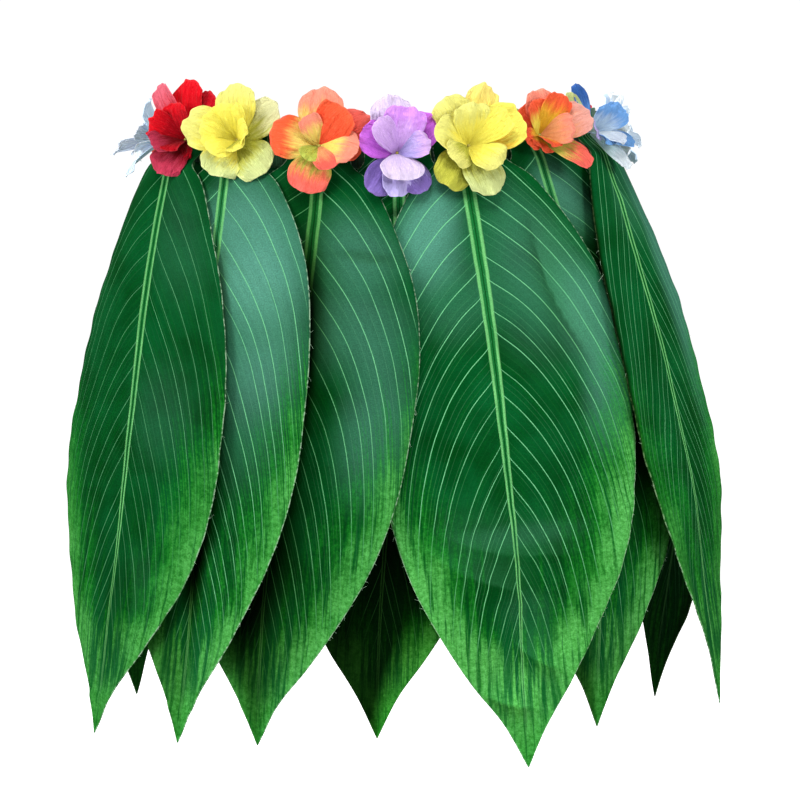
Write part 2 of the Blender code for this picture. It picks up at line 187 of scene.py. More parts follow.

# Soft patches of painted light and shade on the blades: leaf number, share along, place across, reach along
# and across, and strength; a positive strength is a painted satin sheen in pale teal, and a negative one is
# painted shade, such as under the blade beside it
PATCHES = (
    (1, 0.17, 0.45, 0.08, 0.40, 0.10),
    (1, 0.45, 0.35, 0.07, 0.30, 0.10),
    (1, 0.80, 0.10, 0.09, 0.35, -0.28),
    (2, 0.18, 0.30, 0.10, 0.75, 0.80),
    (2, 0.33, 0.50, 0.11, 0.42, 0.50),
    (2, 0.46, 0.50, 0.10, 0.35, 0.18),
    (2, 0.55, -0.95, 0.40, 0.50, -0.70),
    (2, 0.36, -0.04, 0.13, 0.13, -0.95),
    (2, 0.62, 0.02, 0.15, 0.14, -0.85),
    (2, 0.80, -0.20, 0.16, 0.40, -0.45),
    (3, 0.18, 0.50, 0.05, 0.42, 0.42),
    (3, 0.192, 0.60, 0.009, 0.26, -0.22),
    (3, 0.30, 0.45, 0.07, 0.42, 0.38),
    (3, 0.46, 0.74, 0.10, 0.26, 0.40),
    (3, 0.42, -0.30, 0.34, 0.50, -0.80),
    (3, 0.40, 0.00, 0.18, 0.16, -0.85),
    (3, 0.80, -0.30, 0.20, 0.80, -0.72),
    (4, 0.76, 0.00, 0.36, 2.50, -0.76),
    (4, 0.60, 0.00, 0.18, 2.50, -0.16),
    (4, 0.78, -1.00, 0.24, 1.20, -0.50),
    (5, 0.15, -0.60, 0.075, 0.32, 0.80),
    (5, 0.26, -0.35, 0.06, 0.28, 0.20),
    (5, 0.22, 0.40, 0.12, 0.40, 0.28),
    (5, 0.32, 0.78, 0.08, 0.20, 0.48),
    (5, 0.45, 0.82, 0.07, 0.18, 0.45),
    (5, 0.635, 0.05, 0.016, 0.45, 0.12),
    (5, 0.76, 0.05, 0.030, 0.25, 0.15),
    (5, 0.80, 0.00, 0.13, 1.20, -0.14),
    (6, 0.13, 0.10, 0.06, 0.50, 0.60),
    (6, 0.46, 0.40, 0.22, 2.00, -0.97),
    (6, 0.30, 0.95, 0.14, 0.52, -1.00),
    (6, 0.84, -0.95, 0.20, 0.70, -0.55),
    (6, 0.92, 0.00, 0.10, 2.00, -0.25),
    (7, 0.30, 0.85, 0.20, 0.32, 0.60),
    (7, 0.14, 0.30, 0.06, 0.50, 0.15),
    (7, 0.30, -1.02, 0.30, 0.08, -1.00),
    (7, 0.82, 0.00, 0.16, 2.00, -0.22),
    (8, 0.50, -1.00, 0.40, 0.35, -0.50),
    (8, 0.90, 0.00, 0.20, 2.00, -0.55),
    (9, 0.22, -0.40, 0.09, 0.45, 0.50),
    (9, 0.50, -1.00, 0.40, 0.45, -0.50),
    (10, 0.28, 0.30, 0.11, 0.40, 0.35),
    (10, 0.50, -1.00, 0.40, 0.45, -0.50),
    (10, 0.50, 1.00, 0.40, 0.35, -0.50),
    (11, 0.18, -0.30, 0.10, 0.45, 0.60),
    (11, 0.38, 0.50, 0.11, 0.35, 0.30),
    (12, 0.24, 0.30, 0.11, 0.45, 0.35),
    (12, 0.50, -1.00, 0.40, 0.45, -0.50),
    (13, 0.20, -0.20, 0.11, 0.45, 0.50),
    (13, 0.50, -1.00, 0.40, 0.45, -0.50),
    (13, 0.50, 1.00, 0.40, 0.35, -0.50),
    (14, 0.22, 0.40, 0.11, 0.35, 0.35),
    (15, 0.70, 0.00, 0.40, 2.00, -0.50),
)

# Flowers: angle on the waistband, height of the seat above its middle, turn of the face towards +X, rise of
# the petals, spin of each layer (clockwise from up, seen from outside) and its petal lengths; lengths in mm
MM = 0.001
FLOWER_TILT = 18.0
FLOWERS = named("around height turn rise spin_outer outer spin_inner inner", (
    (-60.0, 1, 16.0, 19, 10.0, (33, 24, 29, 28, 27), 40.0, (23, 17, 18, 20, 21)),
    (-39.5, 3, 10.0, 18, 0.0, (29, 27, 28, 26, 26), 36.0, (21, 19, 19, 20, 21)),
    (-16.0, 1, 8.0, 17, 0.0, (32, 26, 28, 34, 30), 36.0, (22, 20, 19, 19, 21)),
    (3.4, -4, 8.0, 17, -10.0, (32, 24, 28, 30, 25), 26.0, (24, 18, 19, 18, 20)),
    (21.6, -2, 7.0, 19, 0.0, (34, 30, 33, 30, 27), 36.0, (24, 21, 19, 20, 22)),
    (43.5, 0, -2.0, 20, 20.0, (26, 28, 27, 26, 27), 56.0, (21, 20, 19, 18, 20)),
    (64.5, -2, -14.0, 16, 10.0, (27, 27, 28, 27, 24), 46.0, (19, 20, 21, 18, 18)),
    (97.0, -2, -8.0, 15, 25.0, (25, 25, 27, 27, 25), 61.0, (18, 19, 19, 19, 18)),
    (124.0, -2, -7.0, 14, 0.0, (28, 27, 28, 29, 28), 36.0, (20, 20, 19, 20, 20)),
    (150.0, -3, -6.0, 15, 15.0, (28, 28, 28, 27, 28), 51.0, (20, 19, 19, 20, 21)),
    (173.0, -3, 0.0, 16, 5.0, (28, 28, 29, 28, 28), 41.0, (21, 20, 19, 20, 20)),
    (195.0, -3, 6.0, 15, 20.0, (28, 28, 29, 28, 28), 56.0, (20, 20, 19, 21, 20)),
    (217.5, -2, 6.0, 15, 0.0, (29, 28, 28, 29, 28), 36.0, (20, 21, 19, 20, 20)),
    (241.0, -2, 6.0, 16, 10.0, (28, 27, 29, 28, 27), 46.0, (20, 19, 19, 20, 19)),
    (267.0, -1, 6.0, 20, 0.0, (29, 26, 28, 31, 29), 36.0, (20, 18, 19, 20, 19)),
))
OUTER_SEAT_RADIUS = 0.005
MIDDLE_LENGTH = 0.58
MIDDLE_RISE = 0.65
INNER_RISE = 1.3
PROFILE_STEPS = 21
SEAT_SHARE = 0.2
SEAT_CLEARANCE = 0.0001

# One petal: grid along and across, where it starts from the seat's middle, width of its claw as a share of
# the whole, where it is open and where it closes again, the step from petal to petal, the seat's share of its
# cut length and the strength of its streaks; and the bead on the seat
PETAL_GRID = (23, 25)
PETAL_START = 0.0004
PETAL_CLAW = 0.24
PETAL_OPEN = 0.62
PETAL_CLOSE = 0.60
PETAL_STEP = 0.0002
CUT_SEAT = 0.004
PETAL_STREAKS = 0.32
BEAD_RADIUS = 0.0011
BEAD_RISE = 0.0010
BEAD_GRID = (9, 12)

# Loose threads: radius, shortest and longest, and where along a blade they hang
THREAD_RADIUS = 0.00010
THREAD_LENGTH = (0.0006, 0.0026)
THREAD_SHARES = (0.16, 0.93)

# Dyes of the petal cloth, linear red, green and blue; the darker ones, such as wine and olive, are partly
# painted shade on the petals that take them
DYES = {
    "scarlet": (0.720, 0.003, 0.012), "crimson": (0.520, 0.002, 0.012),
    "wine": (0.250, 0.001, 0.006), "rose": (0.500, 0.035, 0.080),
    "pink": (0.800, 0.150, 0.210), "straw": (0.780, 0.750, 0.200),
    "cream": (0.700, 0.690, 0.360), "celadon": (0.600, 0.670, 0.270),
    "lemon": (0.930, 0.840, 0.130), "butter": (0.920, 0.740, 0.190),
    "amber": (0.840, 0.520, 0.040), "olive": (0.500, 0.500, 0.060),
    "leafy": (0.500, 0.570, 0.090), "flame": (0.880, 0.110, 0.040),
    "coral": (0.900, 0.140, 0.105), "salmon": (0.910, 0.290, 0.200),
    "peach": (0.930, 0.430, 0.190), "blush": (0.870, 0.400, 0.330),
    "violet": (0.230, 0.150, 0.480), "magenta": (0.640, 0.160, 0.780),
    "lilac": (0.720, 0.470, 0.880), "orchid": (0.680, 0.300, 0.860),
    "lavender": (0.520, 0.450, 0.820), "mist": (0.740, 0.620, 0.840),
    "navy": (0.040, 0.140, 0.460), "blue": (0.170, 0.390, 0.780),
    "sky": (0.620, 0.770, 0.940), "ice": (0.840, 0.920, 0.980),
    "steel": (0.720, 0.800, 0.930), "mint": (0.600, 0.820, 0.780),
}

# Petals of the flowers in front and at the left side, outer layer and inner layer: turn clockwise from up as
# seen from outside, length, width and rise of the rim, cup (the sides' rise over the middle) in mm, and the
# dyes of throat and rim
PETAL_FIELDS = "turn length width rise cup throat rim"
PETALS = {
    1: (
        ((-162, 26.2, 27, 13, -3, "wine", "rose"),
         (-30, 36.2, 15, 16, 3, "scarlet", "pink"),
         (5, 35.7, 26, 13, -1, "scarlet", "scarlet"),
         (31, 33.6, 22, 8, -2, "wine", "crimson"),
         (170, 16.0, 14, 6, -1, "wine", "crimson")),
        ((-129, 14.6, 16, 18, 2, "wine", "rose"),
         (-68, 16.4, 18, 20, 2, "crimson", "scarlet"),
         (2, 18.5, 20, 18, 1, "crimson", "scarlet"),
         (25, 11.9, 17, 12, 2, "wine", "wine"),
         (174, 11.8, 14, 14, 2, "wine", "crimson")),
    ),
    2: (
        ((-158, 26.6, 28, 12, -3, "lemon", "celadon"),
         (-76, 32.4, 27, 15, -2, "lemon", "straw"),
         (-2, 33.1, 27, 12, -1, "lemon", "straw"),
         (51, 33.4, 25, 8, -2, "olive", "cream"),
         (134, 32.6, 27, 9, -2, "olive", "celadon")),
        ((-138, 16.0, 21, 19, -1, "lemon", "lemon"),
         (-74, 17.5, 18, 20, -1, "lemon", "lemon"),
         (-1, 17.8, 22, 20, 2, "lemon", "lemon"),
         (69, 12.6, 20, 16, 3, "lemon", "lemon"),
         (141, 13.0, 14, 14, 2, "olive", "lemon")),
    ),
    3: (
        ((-166, 32.5, 26, 12, -2, "leafy", "coral"),
         (-78, 29.6, 27, 12, -2, "butter", "flame"),
         (3, 34.0, 28, 12, -1, "butter", "salmon"),
         (64, 34.5, 24, 12, -2, "flame", "coral"),
         (97, 26.5, 19, 8, -1, "flame", "flame")),
        ((-150, 13.7, 13, 12, 1, "leafy", "leafy"),
         (-24, 17.0, 14, 13, 2, "butter", "salmon"),
         (42, 24.8, 26, 19, 1, "flame", "flame"),
         (107, 26.0, 22, 18, -1, "butter", "salmon"),
         (151, 20.5, 18, 15, -1, "peach", "coral")),
    ),
    4: (
        ((-146, 33.1, 20, 12, -2, "violet", "violet"),
         (-67, 25.3, 22, 13, -1, "magenta", "magenta"),
         (-9, 33.9, 26, 12, -1, "mist", "mist"),
         (48, 29.1, 24, 13, -1, "magenta", "magenta"),
         (153, 30.0, 20, 10, -2, "lavender", "violet")),
        ((-172, 30.6, 18, 11, -1, "mist", "lavender"),
         (-47, 21.1, 16, 19, 1, "lilac", "lilac"),
         (10, 24.7, 26, 19, 2, "lilac", "orchid"),
         (82, 18.0, 17, 16, 1, "lavender", "lilac"),
         (180, 22.1, 27, 19, -2, "mist", "mist")),
    ),
    5: (
        ((-141, 33.3, 25, 8, -2, "olive", "olive"),
         (-28, 32.0, 27, 10, -1, "lemon", "straw"),
         (19, 38.0, 21, 12, -1, "lemon", "butter"),
         (65, 35.9, 29, 15, 1, "amber", "lemon"),
         (167, 34.4, 28, 12, -2, "olive", "celadon")),
        ((-124, 21.4, 20, 14, -1, "olive", "straw"),
         (-74, 26.7, 22, 14, 0, "lemon", "straw"),
         (-9, 22.5, 24, 17, 1, "lemon", "straw"),
         (51, 25.8, 20, 18, 1, "lemon", "lemon"),
         (145, 21.1, 25, 18, -1, "lemon", "straw")),
    ),
    6: (
        ((-163, 12.5, 20, 10, 1, "amber", "flame"),
         (-49, 20.7, 27, 6, 1, "flame", "flame"),
         (1, 26.9, 23, 12, -1, "flame", "salmon"),
         (72, 29.6, 22, 20, -1, "peach", "blush"),
         (139, 32.9, 17, 20, -1, "leafy", "coral")),
        ((-168, 11.6, 16, 16, 1, "amber", "flame"),
         (-115, 16.2, 14, 8, 1, "amber", "flame"),
         (-24, 20.3, 14, 12, 2, "lemon", "flame"),
         (23, 23.0, 18, 18, 1, "amber", "flame"),
         (99, 12.0, 20, 22, -1, "peach", "salmon")),
    ),
    7: (
        ((-30, 29.0, 9, 3, 0, "mint", "celadon"),
         (-14, 31.5, 11, 4, 1, "blue", "navy"),
         (51, 21.0, 14, 16, -1, "blue", "blue"),
         (116, 26.0, 11, 13, 1, "sky", "blue"),
         (150, 31.0, 14, 12, -1, "mint", "ice")),
        ((-165, 13.0, 13, 16, 1, "sky", "blue"),
         (-110, 14.0, 13, 16, -1, "mint", "lavender"),
         (10, 12.0, 16, 19, -1, "sky", "blue"),
         (62, 17.0, 14, 18, -1, "sky", "blue"),
         (150, 15.0, 12, 18, 1, "ice", "steel")),
    ),
    15: (
        ((40, 28.0, 16, 17, 1, "sky", "sky"),
         (130, 26.0, 12, 27, 1, "steel", "steel"),
         (157, 31.0, 14, 16, -1, "sky", "sky"),
         (-60, 22.0, 16, 14, 1, "sky", "ice"),
         (-130, 22.0, 16, 14, -1, "steel", "ice")),
        ((15, 17.0, 14, 14, 1, "sky", "steel"),
         (85, 18.0, 13, 17, -1, "sky", "steel"),
         (150, 16.0, 12, 15, 1, "ice", "ice"),
         (-140, 14.0, 12, 14, 1, "steel", "ice"),
         (-60, 15.0, 13, 14, 1, "sky", "ice")),
    ),
}

# The other flowers take the dyes from the one in front of the same colour, and have five even petals with
# these cups in mm. Their top petal is cut shorter by this share, so that it stays below the front of the ring
BACK_CUPS = (-2.0, 1.0, -1.0, 2.0, -1.0)
BACK_TOP_PETAL = 0.86

# The flowers that lie in shade, and how much more painted light their petals glow with
FLOWERS_IN_SHADE = (8, 15)
PAINTED_GLOW_IN_SHADE = 3.0

# Colour names of the petals, flower by flower, and then again from the first; the flowers' loop builds a name
# from them that it does not use
BLOOM_SLOTS = ("red", "yellow", "orange", "purple", "gold", "flame", "blue", "pale_blue")

# Leaf print: the half width that the midrib's sizes are given for, the gloss of the satin, and how far the
# soft patches and the dark sides of the creases shade it
PRINT_HALF_WIDTH = 0.075
SATIN_GLOSS = 0.008
PATCH_SHADE = 0.97
CREASE_SHADE = 0.6

# Inks of the leaf print, linear red, green and blue, with the colours of its painted light and shade: the
# painted sheen is a pale teal, the painted highlight beside a crease a paler green, and the painted shade of
# the blade in front a warm near black
CORE_DARK = (0.0004, 0.042, 0.0050)
CORE_LIGHT = (0.0020, 0.086, 0.0190)
CORE_STREAK = (0.0015, 0.095, 0.010)
PAINTED_SHEEN = (0.090, 0.290, 0.215)
CREASE_HIGHLIGHT = (0.055, 0.260, 0.115)
GREEN_DARK = (0.0025, 0.135, 0.006)
GREEN_LIGHT = (0.0140, 0.250, 0.019)
LIME_DARK = (0.0360, 0.262, 0.032)
LIME_LIGHT = (0.1080, 0.435, 0.105)
VEIN = (0.170, 0.560, 0.260)
CHANNEL = (0.010, 0.150, 0.030)
MIDRIB = (0.165, 0.520, 0.170)
CUT_EDGE = (0.400, 0.600, 0.400)
BARE_THREAD = (0.45, 0.66, 0.46)
SHADE_TINT = (0.80, 1.0, 0.45)
WHITE = (1.0, 1.0, 1.0)
ELASTIC_DARK = (0.006, 0.050, 0.020)
ELASTIC_LIGHT = (0.022, 0.140, 0.055)

# Inputs of the leaf print, with their defaults
LEAF_PRINT_INPUTS = {
    "Seed": 0.0, "Bright": 1.0, "Border": 1.0, "Slope": 0.5, "Turn": 0.5, "Veins": 1.0, "Rib": 1.0,
}

# A full turn in radians and the pitch of the elastic's cross threads, for the sines of its pattern
TURN = 6.2832
THREAD_PITCH = 0.0009

# Stage: half width of the floor, what the lights aim at, and each light's name, place, width and power; then
# the strength of the white backdrop as the camera sees it, and where the camera stands and aims
FLOOR_HALF = 9.0
LIT_MIDDLE = (0.0, 0.0, -0.16)
LIGHTS = (
    ("Left light", (-2.0, -1.25, 0.55), 0.8, 40.0),
    ("Right light", (2.0, -1.35, 0.55), 0.8, 30.0),
    ("Top light", (-0.3, -1.8, 2.2), 1.2, 56.0),
    ("Back light", (0.0, 2.3, 1.3), 1.6, 46.0),
)
BACKDROP_SEEN = 1.05
CAMERA_PLACE = (0.0105, -2.2, 0.0)
CAMERA_AIM = (0.0105, 0.0, -0.168)


def ease(x):
    """Smooth step from 0 to 1 over 0 to 1: three times the square less twice the cube."""
    x = np.clip(x, 0.0, 1.0)
    return x * x * (3.0 - 2.0 * x)


def band_line(around):
    """Height of the band's middle: the slant times the sine, less the dip times the squared cosine."""
    return WAIST_SLANT * np.sin(around) - WAIST_DIP * np.cos(around) ** 2


def half_sizes(drop, out=0.0):
    """Share of the flare at a drop, a quarter sine, and the form's half width and depth there, moved out."""
    spread = np.sin(0.5 * np.pi * np.clip(drop / FLARE_DROP, 0.0, 1.0))
    half_width = WAIST_HALF_WIDTH + (HEM_HALF_WIDTH - WAIST_HALF_WIDTH) * spread + out
    half_depth = WAIST_HALF_DEPTH + (HEM_HALF_DEPTH - WAIST_HALF_DEPTH) * spread + out
    return spread, half_width, half_depth


def form(around, drop, out):
    """Point of the skirt's form: an ellipse that widens with the drop below the waist by a quarter sine."""
    spread, half_width, half_depth = half_sizes(drop, out)
    x = half_width * np.sin(around) + HEM_SHIFT * spread
    y = -half_depth * np.cos(around)
    z = band_line(around) - drop
    return np.stack([x, y, z + 0.0 * x], axis=-1)


def around_speed(around, drop):
    """Length of the form's ring for each radian of the angle around."""
    _, half_width, half_depth = half_sizes(drop)
    return np.hypot(half_width * np.cos(around), half_depth * np.sin(around))


def smooth_table(x, knots, values):
    """Cubic through a table's rows: Hermite pieces whose slopes are the table's central differences."""
    slopes = np.gradient(values, knots)
    low = np.clip(np.searchsorted(knots, x, side="right") - 1, 0, len(knots) - 2)
    span = knots[low + 1] - knots[low]
    q = np.clip((x - knots[low]) / span, 0.0, 1.0)
    rise = values[low + 1] - values[low]
    bend_low = slopes[low] * span - rise
    bend_high = rise - slopes[low + 1] * span
    return values[low] + q * rise + q * (1.0 - q) * ((1.0 - q) * bend_low + q * bend_high)


def leaf_stand_out(leaf, along):
    """How far a leaf stands off the form: its layer's step, eased in below the waist, its bow, which is
    a squared sine, and its tip's curl."""
    ramp = ease((along - LAYER_RAMP[0]) / (LAYER_RAMP[1] - LAYER_RAMP[0]))
    step = ramp * (LAYER_STEP_TOP + (LAYER_STEP_HEM - LAYER_STEP_TOP) * along)
    tip = ease((along - CURL_START) / (1.0 - CURL_START))
    return GAP + leaf["layer"] * step + leaf["bow"] * np.sin(np.pi * along) ** 2 + leaf["curl"] * tip


def leaf_width(leaf, along):
    """Half width of a leaf at each share of its length, from the smoothed outline."""
    return leaf["half_width"] * smooth_table(along, LEAF_OUTLINE[:, 0], LEAF_OUTLINE[:, 1])


def rib_place(leaf, along):
    """How far the midrib lies beside the blade's middle line: its shift, eased to none further down."""
    return leaf["rib_shift"] * (1.0 - ease((along - RIB_RETURN[0]) / (RIB_RETURN[1] - RIB_RETURN[0])))


def patch_share(number, along, across, sign):
    """How much painted sheen (sign 1) or painted shade (sign -1) the print takes: the sum of the leaf's soft
    patches of that sign, each full within 0.3 of its reach and gone by 1.7 times its reach."""
    total = 0.0 * along
    for leaf, along_0, across_0, reach_along, reach_across, strength in PATCHES:
        if leaf == number and strength * sign > 0.0:
            off = np.hypot((along - along_0) / reach_along, (across - across_0) / reach_across)
            total = total + abs(strength) * ease((1.7 - off) / 1.4)
    return np.clip(total, 0.0, 1.0)


def crease_lines(number, leaf, aside, down):
    """For each of a leaf's creases: its row, the distance from its line, which bends a little as a sine, and
    a window that fades out past the crease's length."""
    for crease in CREASES:
        if crease["leaf"] == number:
            angle = np.radians(crease["angle"])
            aside_0 = crease["across"] * leaf_width(leaf, np.array([crease["along"]]))[0]
            down_0 = crease["along"] * leaf["length"]
            run = (aside - aside_0) * np.cos(angle) + (down - down_0) * np.sin(angle)
            off = (down - down_0) * np.cos(angle) - (aside - aside_0) * np.sin(angle)
            off = off + 0.08 * crease["half_length"] * np.sin(2.2 * run / crease["half_length"] + number)
            yield crease, off, np.exp(-(run / crease["half_length"]) ** 4)


def crease_relief(number, leaf, aside, down):
    """Sum of a leaf's creases: a ridge is a bell over the distance from its line, and a step is the
    hyperbolic tangent of that distance, both fading out past the crease's length and away from it."""
    relief = 0.0 * aside
    for crease, off, window in crease_lines(number, leaf, aside, down):
        if crease["step"]:
            shape = np.tanh(off / crease["width"]) * np.exp(-(off / (0.004 + 4.0 * crease["width"])) ** 2)
        else:
            shape = np.exp(-(off / crease["width"]) ** 2)
        relief = relief + crease["depth"] * window * shape
    return relief


def crease_tone(number, leaf, along, across):
    """Painted highlight and painted shade on the two sides of a leaf's creases, as how much paler and how
    much darker the print is: sharp at the line, over 1.6 mm, and a bell of 20 mm or 7 mm away from it."""
    paler = 0.0 * along
    darker = 0.0 * along
    aside = across * leaf_width(leaf, along)
    for crease, off, window in crease_lines(number, leaf, aside, along * leaf["length"]):
        beyond = ease(0.5 + np.sign(crease["tone"]) * off / 0.0016)
        share = abs(crease["tone"]) * window
        paler = paler + share * beyond * np.exp(-(off / 0.020) ** 2)
        darker = darker + share * (1.0 - beyond) * np.exp(-(off / 0.007) ** 2)
    return paler, np.clip(darker, 0.0, 1.0)


def leaf_relief(number, leaf, along, across):
    """Folds of a blade: a bell-shaped groove at the midrib, free edges that lift by a square, two families of
    slow waves, edge ripples and its creases. The lifts and waves ease in below the base and out where the tip
    is narrow. Inwards all is held to the inward depth by a hyperbolic tangent, so that the blade clears the
    one behind it."""
    half = leaf_width(leaf, along)
    aside = across * half
    down = along * leaf["length"] + 0.0 * across
    free = ease((along - 0.10) / 0.25) * (1.0 - 0.5 * ease((along - 0.75) / 0.25)) * ease(half / 0.022)
    groove = -GROOVE_DEPTH * np.exp(-((aside - rib_place(leaf, along)) / 0.0075) ** 2) * ease(along / 0.12)
    right = leaf["lift_right"] * ease((across - 0.25) / 0.85) ** 2
    left = leaf["lift_left"] * ease((-across - 0.25) / 0.85) ** 2
    slow = np.sin(62.0 * down + 21.0 * aside + 1.7 * number)
    slow = slow + 0.7 * np.sin(38.0 * down - 58.0 * aside + 2.9 * number)
    ripple = np.sin(235.0 * down + 1.3 * number + 2.0 * across) * np.sin(71.0 * down + 0.8 * number)
    folds = 0.0005 * slow + 0.0005 * np.abs(across) ** 5 * ripple
    relief = groove + free * (right + left + folds) + crease_relief(number, leaf, aside, down)
    return np.where(relief < 0.0, INWARD_DEPTH * np.tanh(relief / INWARD_DEPTH), relief)


def leaf_surface(number, leaf, along, across):
    """Point on a blade's outer face: its middle line sways from base angle to tip angle, and the share across
    times the half width is laid out along the form's ring by a two-step midpoint rule, then moved out by the
    relief."""
    drop = along * leaf["length"] * LEAF_FALL - LEAF_TOP
    middle = leaf["around_base"] + (leaf["around_tip"] - leaf["around_base"]) * ease(along)
    middle = np.radians(middle + leaf["sway"] * np.sin(np.pi * along))
    sideways = across * leaf_width(leaf, along)
    ramp = ease((along - SKEW_RAMP[0]) / (SKEW_RAMP[1] - SKEW_RAMP[0]))
    drop = drop - leaf["skew"] * sideways * ramp
    halfway = middle + 0.5 * sideways / around_speed(middle, drop)
    around = middle + sideways / around_speed(halfway, drop)
    out = leaf_stand_out(leaf, along) + CLOTH + leaf_relief(number, leaf, along, across)
    return form(around, drop, out)


def seat_stand_off(flower, leaf):
    """How far a flower's seat stands off the form so that its back and lowest petal clear the leaf's base."""
    tilt = np.radians(FLOWER_TILT)
    reach = np.linspace(-OUTER_SEAT_RADIUS, MIDDLE_LENGTH * MM * max(flower["outer"]), PROFILE_STEPS)
    funnel = np.clip((reach - OUTER_SEAT_RADIUS) / (reach[-1] - OUTER_SEAT_RADIUS), 0.0, 1.0)
    climb = funnel * MIDDLE_RISE * MM * flower["rise"]
    seat_drop = -MM * flower["height"]
    drop = seat_drop + reach * np.cos(tilt) - climb * np.sin(tilt)
    rows = LEAF_OUTLINE[:, 0]
    along = (drop + LEAF_TOP) / (leaf["length"] * LEAF_FALL)
    leaf_out = np.interp(along, rows, leaf_stand_out(leaf, rows))
    around = np.radians(flower["around"])
    flare = form(around, drop, 0.0)[:, :2] - form(around, seat_drop, 0.0)[:2]
    leaf_out += np.sign(drop - seat_drop) * np.hypot(flare[:, 0], flare[:, 1])
    leaf_out += CLOTH * np.hypot(1.0, np.gradient(leaf_out, drop))
    turned = OUTER_SEAT_RADIUS * np.sin(np.radians(abs(flower["turn"]))) * (funnel < SEAT_SHARE)
    return GAP + SEAT_CLEARANCE + np.max(leaf_out + turned - reach * np.sin(tilt) - climb * np.cos(tilt))


def flower_frame(flower, leaf):
    """Seat point of a flower on its leaf's base, with its side, up and axis directions."""
    around = np.radians(flower["around"])
    face = np.arctan2(WAIST_HALF_DEPTH * np.sin(around), WAIST_HALF_WIDTH * np.cos(around))
    face += np.radians(flower["turn"])
    tilt = np.radians(FLOWER_TILT)
    axis = np.array([np.sin(face) * np.cos(tilt), -np.cos(face) * np.cos(tilt), np.sin(tilt)])
    up = np.array([-np.sin(face) * np.sin(tilt), np.cos(face) * np.sin(tilt), np.cos(tilt)])
    seat = form(around, -MM * flower["height"], seat_stand_off(flower, leaf))
    return seat, np.cross(up, axis), up, axis


def petal_rows(number, flower, layer):
    """Rows of a flower's layer; a flower without rows of its own has five even petals from its lengths, 0.9
    times as wide as they are long, in the dyes of a flower in front."""
    if number in PETALS:
        rows = PETALS[number][layer == "inner"]
    else:
        dyed = PETALS[number % 8 or 15][layer == "inner"]
        rise = flower["rise"] * (INNER_RISE if layer == "inner" else 1.0)
        rows = [(flower[f"spin_{layer}"] + 72.0 * turn, length, 0.90 * length,
                 rise * (0.86 + 0.09 * (turn % 3)), BACK_CUPS[turn], *dyed[turn][5:])
                for turn, length in enumerate(flower[layer])]
        rows[0] = (rows[0][0], BACK_TOP_PETAL * rows[0][1], *rows[0][2:])
    return named(PETAL_FIELDS, rows)


def petal_layer(axes, rows, lift, size, seed):
    """Petals side by side in one layer. Along a petal, the reach goes from the seat to the rim and is drawn
    in at the sides to round it off; the width opens from a narrow claw by a sine and closes by a root at the
    rim. The height is the rise times one less a power of what is left of the reach, and to it are added the
    cup (the square of the across value), a twist that puts one side over the next petal, a rolled rim, folds,
    ruffles and pleats."""
    seat, side, up, axis = axes
    rng = np.random.default_rng(seed)
    count = len(rows)

    def column(key):
        return np.array([row[key] for row in rows], dtype=float)[:, None, None]

    length, width, rise, cup = (MM * column(key) for key in ("length", "width", "rise", "cup"))
    petal, reach, across = np.broadcast_arrays(
        np.arange(count)[:, None, None], np.linspace(0.0, 1.0, PETAL_GRID[0])[None, :, None],
        np.linspace(-1.0, 1.0, PETAL_GRID[1])[None, None, :])
    wave = rng.uniform(0.0, 2.0 * np.pi, (6, count, 1, 1))
    some = rng.uniform(0.6, 1.4, (3, count, 1, 1))
    frill = 0.007 * np.sin(5.0 * across + wave[0]) + 0.007 * np.sin(11.0 * across + wave[1])
    down = reach * (1.0 - 0.16 * across ** 2 * reach ** 2 + frill * reach ** 4)
    open_out = np.sin(0.5 * np.pi * np.clip(reach / PETAL_OPEN, 0.0, 1.0)) ** 1.15
    close_in = np.sqrt(1.0 - (1.25 * np.clip(reach - PETAL_CLOSE, 0.0, 0.4)) ** 2)
    sideways = 0.5 * width * across * (PETAL_CLAW + (1.0 - PETAL_CLAW) * open_out) * close_in
    height = rise * (1.0 - (1.0 - reach) ** 1.6)
    height = height + cup * across ** 2 * reach + size.twist * across * reach
    roll = ease((reach - 0.74) / 0.26) * (1.0 + 0.5 * np.sin(3.0 * across + wave[3]))
    middle = np.sqrt(reach * (1.0 - 0.75 * reach))
    soft = np.clip(width / 0.024, 0.2, 1.0) ** 1.5
    folds = soft * size.fold * some[0] * middle * np.sin(7.5 * across + wave[4])
    ruffles = np.sin(5.2 * across + wave[5]) + 0.4 * np.sin(10.7 * across + wave[1])
    ruffles = soft * size.ruffle * some[1] * reach ** 3 * ruffles
    pleats = size.pleat * middle * np.sin(19.0 * across + 2.0 * np.sin(3.0 * across + wave[2]))
    height = height - soft * size.roll * some[2] * roll + folds + ruffles + pleats + lift + PETAL_STEP * petal
    turn = np.radians(column("turn"))
    along_petal = np.sin(turn)[..., None] * side + np.cos(turn)[..., None] * up
    over_petal = np.cos(turn)[..., None] * side - np.sin(turn)[..., None] * up
    radius = PETAL_START + (length - PETAL_START) * down
    points = seat + radius[..., None] * along_petal + sideways[..., None] * over_petal
    return points + height[..., None] * axis, petal, reach, across


def petal_cut(points, rows):
    """Width and length of a layer's five-petalled cut shape laid flat, and its area: a petal's reach is the
    seat's share and the length over its middle line, turned to its row's angle, and the area is the sum of
    the petals' grid cells."""
    middle = points[:, :, points.shape[2] // 2]
    reach = CUT_SEAT + np.linalg.norm(np.diff(middle, axis=1), axis=-1).sum(axis=1)
    turn = np.radians(np.array([row["turn"] for row in rows], dtype=float))
    half = 0.5 * MM * np.array([row["width"] for row in rows])

    def span(ahead, beside):
        return max(np.max(reach * ahead + half * np.abs(beside)), 0.0) - min(
            np.min(reach * ahead - half * np.abs(beside)), 0.0)

    width = span(np.sin(turn), np.cos(turn))
    length = span(np.cos(turn), np.sin(turn))
    one = points[:, 1:, 1:] - points[:, :-1, :-1]
    two = points[:, 1:, :-1] - points[:, :-1, 1:]
    area = 0.5 * np.linalg.norm(np.cross(one, two), axis=-1).sum()
    return (float(width), float(length)), float(min(area, 0.98 * width * length))


